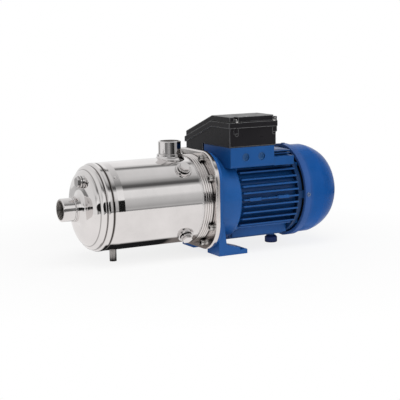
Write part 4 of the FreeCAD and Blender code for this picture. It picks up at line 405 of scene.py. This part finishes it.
def soft_edges(tree, radius):
    node = add_node(tree, "ShaderNodeBevel", Radius=radius)
    node.samples = 6
    return node.outputs["Normal"]


def edge_mask(tree, rounded):
    """1 on sharp edges, where the rounded normal turns away from the surface's own; painted highlights go
    there.
    """
    least, most = 0.03, 0.20
    agree = tree.nodes.new("ShaderNodeVectorMath")
    agree.operation = "DOT_PRODUCT"
    tree.links.new(rounded, agree.inputs[0])
    tree.links.new(tree.nodes.new("ShaderNodeNewGeometry").outputs["Normal"], agree.inputs[1])
    return rise(tree, math_node(tree, "SUBTRACT", 1.0, agree.outputs["Value"]), least, most)


def seam_shade_mask(tree, station, seam_shades):
    """1 away from the joints of the pressed steel, down to the light that is left in the painted shade on
    them.
    """
    span = SEAMS_END - SEAMS_START
    outer, inner = 1.4, 0.6
    stops = [(0.0, 1.0)]
    for place, half_width, depth in seam_shades:
        middle = (place - SEAMS_START) / span
        reach = half_width / span
        stops += [(middle - reach * outer, 1.0), (middle - reach * inner, depth),
                  (middle + reach * inner, depth), (middle + reach * outer, 1.0)]
    return ramp(tree, rise(tree, station, SEAMS_START, SEAMS_END), stops)


def bore_mask(tree, axes, axis, centre, radius):
    """1 within a radius of an axis, which runs through a centre on the two other axes."""
    across = [name for name in "XYZ" if name != axis]
    squares = [math_node(tree, "POWER", math_node(tree, "SUBTRACT", axes[name], middle), 2.0)
               for name, middle in zip(across, centre)]
    return math_node(tree, "LESS_THAN", math_node(tree, "ADD", *squares), radius ** 2)


def thread_height(tree, station):
    """Height of a pipe thread's ridges, along the axis that station is measured on."""
    turn = math_node(tree, "SINE", math_node(tree, "MULTIPLY", station, 2 * math.pi / THREAD_PITCH))
    return math_node(tree, "MULTIPLY", turn, 0.5)


def metal(name, colour, polish, scratches, waves=0.0, stretch=(1, 1, 1), hollow=0.12,
          seam_shades=None, bore=None, dull=None, painted_shade_side=None):
    """Metal with uneven polish, fine scratches and painted shade in corners; METALS says what each value is.
    """
    smoothest, roughest = polish
    smudge_scale, wave_scale, scratch_scale = 22.0, 9.0, 900.0
    wave_depth, scratch_depth, thread_depth = 0.01, 0.0004, 0.0009
    corner_reach, edge_radius = 0.005, 0.0004
    material, tree, shader = new_material(name, colour, 1.0, (smoothest + roughest) / 2)
    place = place_of(tree)
    axes = axes_of(tree, place)
    smudges = noise(tree, place, smudge_scale)
    roughness = ramp(tree, smudges, [(0.35, smoothest), (0.70, roughest)])
    darker = tuple(value * PATCH_TONE for value in colour)
    # Patches of tone, darkened by painted shade in the corners
    body = painted_crevice_shade(tree, ramp(tree, smudges, [(0.30, colour), (0.85, darker)]), corner_reach, hollow)
    normal = soft_edges(tree, edge_radius)
    if waves:
        normal = bump(tree, noise(tree, place, wave_scale, 1.0), waves, wave_depth, normal)
    fine = noise(tree, place_of(tree, stretch), scratch_scale, 2.0)
    normal = bump(tree, fine, scratches, scratch_depth, normal)
    # Painted shade in the grooves at the seams of the pressed steel
    if seam_shades:
        body = mixed(tree, seam_shade_mask(tree, axes["X"], seam_shades), SEAM_SHADE_COLOUR, body)
    # Painted shade: the steel past a station, on the near side, is darker
    if painted_shade_side:
        station, across = painted_shade_side
        shaded = math_node(tree, "MULTIPLY", window(tree, axes["X"], station, OPEN_END, 0.0015),
                           window(tree, axes["Y"], -OPEN_END, across, 0.003))
        body = mixed(tree, shaded, body, SHADED_STEEL)
    if bore:
        axis, centre, radius, mouth = bore
        inside = bore_mask(tree, axes, axis, centre, radius)
        thread = math_node(tree, "MULTIPLY", thread_height(tree, axes[axis]), inside)
        normal = bump(tree, thread, 1.0, thread_depth, normal)
        roughness = mixed(tree, inside, roughness, THREAD_ROUGHNESS)
        # The bore's colour darkens with depth: painted shade
        depth = math_node(tree, "ABSOLUTE", math_node(tree, "SUBTRACT", axes[axis], mouth))
        shade_tones = ramp(tree, math_node(tree, "MULTIPLY", depth, 1 / BORE_DEPTH), BORE_SHADE_TONES)
        body = mixed(tree, inside, body, shade_tones)
    if dull:
        station, level = dull
        past = window(tree, axes["X"], station, OPEN_END, 0.002)
        roughness = mixed(tree, past, roughness, (level, level, level, 1))
    tree.links.new(roughness, shader.inputs["Roughness"])
    tree.links.new(body, shader.inputs["Base Color"])
    tree.links.new(normal, shader.inputs["Normal"])
    return material


def paint(name, colour, roughness, peel, coat=0.0, edge=0.0008, gloss=0.2, hollow=0.35,
          edge_highlight=None, along=None):
    """Paint or plastic with slight changes of tone and gloss, and painted shade and highlights; PAINTS says
    what each value is.
    """
    patch_scale, gloss_scale, peel_scale = 14.0, 60.0, 420.0
    peel_depth, corner_reach = 0.0006, 0.012
    material, tree, shader = new_material(name, colour, 0.0, roughness)
    place = place_of(tree)
    darker = tuple(value * PATCH_TONE for value in colour)
    lighter = tuple(min(value * 1.10 + 0.004, 1.0) for value in colour)
    patches = ramp(tree, noise(tree, place, patch_scale), [(0.30, darker), (0.72, lighter)])
    # Patches of tone, darkened by painted shade in the corners
    body = painted_crevice_shade(tree, patches, corner_reach, hollow)
    rounded = soft_edges(tree, edge)
    # A painted shade that changes the tone down the shaft
    if along:
        start, end, stops = along
        station = rise(tree, axes_of(tree, place)["X"], start, end)
        body = mixed(tree, 1.0, body, ramp(tree, station, stops), "MULTIPLY")
    # A painted highlight on sharp edges
    if edge_highlight:
        body = mixed(tree, edge_mask(tree, rounded), body, (*edge_highlight, 1))
    gloss_patches = ramp(tree, noise(tree, place, gloss_scale),
                         [(0.30, max(roughness - 0.06, 0.05)), (0.75, roughness + 0.08)])
    tree.links.new(body, shader.inputs["Base Color"])
    tree.links.new(gloss_patches, shader.inputs["Roughness"])
    shader.inputs["Specular IOR Level"].default_value = gloss
    shader.inputs["Coat Weight"].default_value = coat
    shader.inputs["Coat Roughness"].default_value = 0.16
    grain = noise(tree, place, peel_scale, 2.0)
    tree.links.new(bump(tree, grain, peel, peel_depth, rounded), shader.inputs["Normal"])
    return material


def make_materials():
    materials = {name: metal(name, **finish) for name, finish in METALS.items()}
    materials.update({name: paint(name, **finish) for name, finish in PAINTS.items()})
    return materials


def dress_frame(materials):
    """Gives every carried-over node the material of its slot in the record, or its own finish."""
    for row in frame["record"]["subparts"]:
        node = frame["nodes"][row["node"]]
        node.data.materials.clear()
        node.data.materials.append(materials[OWN_FINISH.get(row["node"], row["material_slot"])])
        for polygon in node.data.polygons:
            polygon.material_index = 0


# Small detail that the solids leave out


def new_piece(name, vertices, faces, material, body="casing"):
    """A smooth mesh piece that rides on a body and takes its finish from a slot."""
    mesh = bpy.data.meshes.new(name)
    mesh.from_pydata([tuple(vertex) for vertex in vertices], [], faces)
    mesh.materials.append(material)
    for polygon in mesh.polygons:
        polygon.use_smooth = True
    mesh.update()
    piece = bpy.data.objects.new(name, mesh)
    bpy.context.scene.collection.objects.link(piece)
    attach(piece, body)


def spokes(angle):
    """Two directions on the barrel at an angle above the near horizontal: outward, and round it."""
    outward = Vector((0, -math.cos(angle), math.sin(angle)))
    return outward, Vector((1, 0, 0)).cross(outward)


def stack_faces(rings, sides):
    """Faces of rings of points one over the other, closed at both ends."""
    faces = []
    for ring in range(rings - 1):
        for side in range(sides):
            following = (side + 1) % sides
            faces.append((ring * sides + side, ring * sides + following,
                          (ring + 1) * sides + following, (ring + 1) * sides + side))
    faces.append(tuple((rings - 1) * sides + side for side in range(sides)))
    faces.append(tuple(reversed(range(sides))))
    return faces


def bead(name, path, outward, radius, material, flatness=0.6, ripples=0):
    """Weld bead: a flattened tube along a closed path, with the ripples that a welder leaves."""
    sides, ripple_height = 8, 0.10
    count = len(path)
    vertices = []
    for number, point in enumerate(path):
        along = (path[(number + 1) % count] - path[number - 1]).normalized()
        normal = outward[number].normalized()
        across = along.cross(normal).normalized()
        swell = 1 + ripple_height * math.sin(2 * math.pi * ripples * number / count)
        for turn in turns(sides):
            vertices.append(point + across * (radius * swell * math.cos(turn))
                            + normal * (radius * flatness * swell * math.sin(turn)))
    faces = []
    for number in range(count):
        following = (number + 1) % count
        for side in range(sides):
            beside = (side + 1) % sides
            faces.append((number * sides + side, following * sides + side,
                          following * sides + beside, number * sides + beside))
    new_piece(name, vertices, faces, material)


def saddle_bead(name, material, station, angle, radius):
    """Bead round a boss that stands on the barrel."""
    away, beside = spokes(angle)
    thickness = 0.0009
    path, outward = [], []
    for turn in turns(160):
        across = radius * math.sin(turn)
        point = beside * across + away * math.sqrt(BARREL_RADIUS ** 2 - across ** 2)
        outward.append(point.normalized())
        path.append(point + Vector((station + radius * math.cos(turn), 0, 0)))
    bead(name, path, outward, thickness, material, ripples=40)


def round_bead(name, material, station, radius, thickness, flatness=0.6):
    """Bead round the shaft axis."""
    outward = [Vector((0, math.cos(turn), math.sin(turn))) for turn in turns(200)]
    path = [spoke * radius + Vector((station, 0, 0)) for spoke in outward]
    bead(name, path, outward, thickness, material, flatness, ripples=60)


def collar_bead(material):
    """Bead on top of the discharge collar."""
    radius, height, thickness = 0.0187, 0.0759, 0.0008
    outward = [Vector((math.cos(turn), math.sin(turn), 0)) for turn in turns(120)]
    path = [spoke * radius + Vector((PORT_STATION, 0, height)) for spoke in outward]
    bead("discharge_weld", path, outward, thickness, material, ripples=40)


def vent_bead(material):
    """Bead round the vent boss; it follows the crown and the knuckle of the head."""
    boss_reach, radius, thickness = 0.0446, 0.0101, 0.0007
    # Arcs of the head's profile: station and reach of the centre, and radius
    crown, knuckle = (0.09736, 0.03484, 0.06390), (0.04558, 0.05140, 0.00950)
    knuckle_start = 0.0543
    path, outward = [], []
    for turn in turns(120):
        y = -boss_reach * math.cos(VENT_ANGLE) + radius * math.cos(turn)
        z = boss_reach * math.sin(VENT_ANGLE) + radius * math.sin(turn)
        reach = math.hypot(y, z)
        arc_station, arc_reach, arc_radius = knuckle if reach > knuckle_start else crown
        climb = reach - arc_reach
        run = math.sqrt(arc_radius ** 2 - climb ** 2)
        path.append(Vector((arc_station - run, y, z)))
        outward.append(Vector((-run, y * climb / reach, z * climb / reach)))
    bead("vent_weld", path, outward, thickness, material, ripples=36)


def barrel_mark(name, material, station, angle):
    """Shallow round mark of a locating weld on the barrel."""
    away, beside = spokes(angle)
    rings, sides, radius, height, sunk = 5, 24, 0.0030, 0.00035, 0.00004
    vertices = []
    for ring in range(rings):
        reach = radius * (1 - ring / rings)
        lift = height * math.sin(0.5 * math.pi * ring / (rings - 1)) - sunk
        for turn in turns(sides):
            across = reach * math.sin(turn)
            level = math.sqrt(BARREL_RADIUS ** 2 - across ** 2) + lift
            vertices.append(Vector((station + reach * math.cos(turn), 0, 0)) + beside * across + away * level)
    new_piece(name, vertices, stack_faces(rings, sides), material)


def barrel_seam(material):
    """Long weld of the rolled barrel, on the far lower side."""
    angle, start, end, rows = math.radians(214), 0.0632, 0.2185, 60
    columns = (-0.0016, -0.0008, 0.0, 0.0008, 0.0016)
    lifts = (-0.00005, 0.00014, 0.00020, 0.00014, -0.00005)
    vertices, faces = [], []
    for row in range(rows + 1):
        station = start + (end - start) * row / rows
        for column, lift in zip(columns, lifts):
            turn = angle + column / BARREL_RADIUS
            reach = BARREL_RADIUS + lift
            vertices.append(Vector((station, -reach * math.cos(turn), reach * math.sin(turn))))
    wide = len(columns)
    for row in range(rows):
        for column in range(wide - 1):
            first = row * wide + column
            faces.append((first, first + 1, first + wide + 1, first + wide))
        first, last = row * wide, row * wide + wide - 1
        faces.append((last, first, first + wide, last + wide))
    faces.append(tuple(reversed(range(wide))))
    faces.append(tuple(rows * wide + column for column in range(wide)))
    new_piece("barrel_seam", vertices, faces, material)


def slot_bead(name, place, half, height, material):
    """Upright rounded slot outline on the near wall of the terminal box, under a lid screw; its pale bead is
    a painted highlight along the slot's edge.
    """
    x, face, low = place
    steps, thickness = 12, 0.0006
    path = []
    for start, centre_height in ((math.pi, low), (0.0, low + height)):
        for number in range(steps):
            turn = start + math.pi * number / (steps - 1)
            path.append(Vector((x + half * math.cos(turn), face, centre_height + half * math.sin(turn))))
    outward = [Vector((0, -1, 0))] * len(path)
    bead(name, path, outward, thickness, material, flatness=0.9)


def screw_head(name, place, radius, height, material):
    """Low domed head of a lid screw that shows over the rim of the terminal box."""
    sides = 20
    profile = ((1.0, 0.0), (1.0, 0.72), (0.92, 0.92), (0.55, 1.0))
    vertices = []
    for width, level in profile:
        for turn in turns(sides):
            vertices.append(Vector(place) + Vector((radius * width * math.cos(turn),
                                                    radius * width * math.sin(turn), height * level)))
    new_piece(name, vertices, stack_faces(len(profile), sides), material)


def make_welds(material):
    saddle_bead("fill_weld", material, PORT_STATION, FILL_ANGLE, radius=0.0129)
    saddle_bead("drain_weld", material, PORT_STATION, DRAIN_ANGLE, radius=0.0129)
    saddle_bead("leg_weld", material, station=0.088, angle=-math.pi / 2, radius=0.0057)
    round_bead("neck_weld", material, station=0.0205, radius=0.0186, thickness=0.0014, flatness=0.8)
    round_bead("hub_weld", material, station=0.2190, radius=BARREL_RADIUS, thickness=0.0009)
    collar_bead(material)
    vent_bead(material)
    barrel_mark("barrel_mark_1", material, station=0.0668, angle=math.radians(64.1))
    barrel_mark("barrel_mark_2", material, station=0.0741, angle=math.radians(47.1))
    barrel_seam(material)


def make_box_detail(materials):
    """Screw heads over the rim of the terminal box, and the slots that are moulded under them, outlined in a
    painted highlight.
    """
    wall, slot_low, slot_half, slot_height = -0.0707, 0.1075, 0.0030, 0.0140
    screw_line, rim, head_radius, head_height = -0.0698, 0.1266, 0.0034, 0.0026
    for number, x in enumerate((0.2792, 0.3497), start=1):
        slot_bead("box_slot_%d" % number, (x, wall, slot_low), slot_half, slot_height,
                  materials["slot_highlight_plastic"])
        screw_head("lid_screw_cap_%d" % number, (x, screw_line, rim), head_radius, head_height,
                   materials["bolt_steel"])


bpy.context.scene.view_settings.view_transform = "Standard"
make_camera()
make_world()
make_floor()
make_lights()
materials = make_materials()
dress_frame(materials)
make_welds(materials["polished_steel"])
make_box_detail(materials)
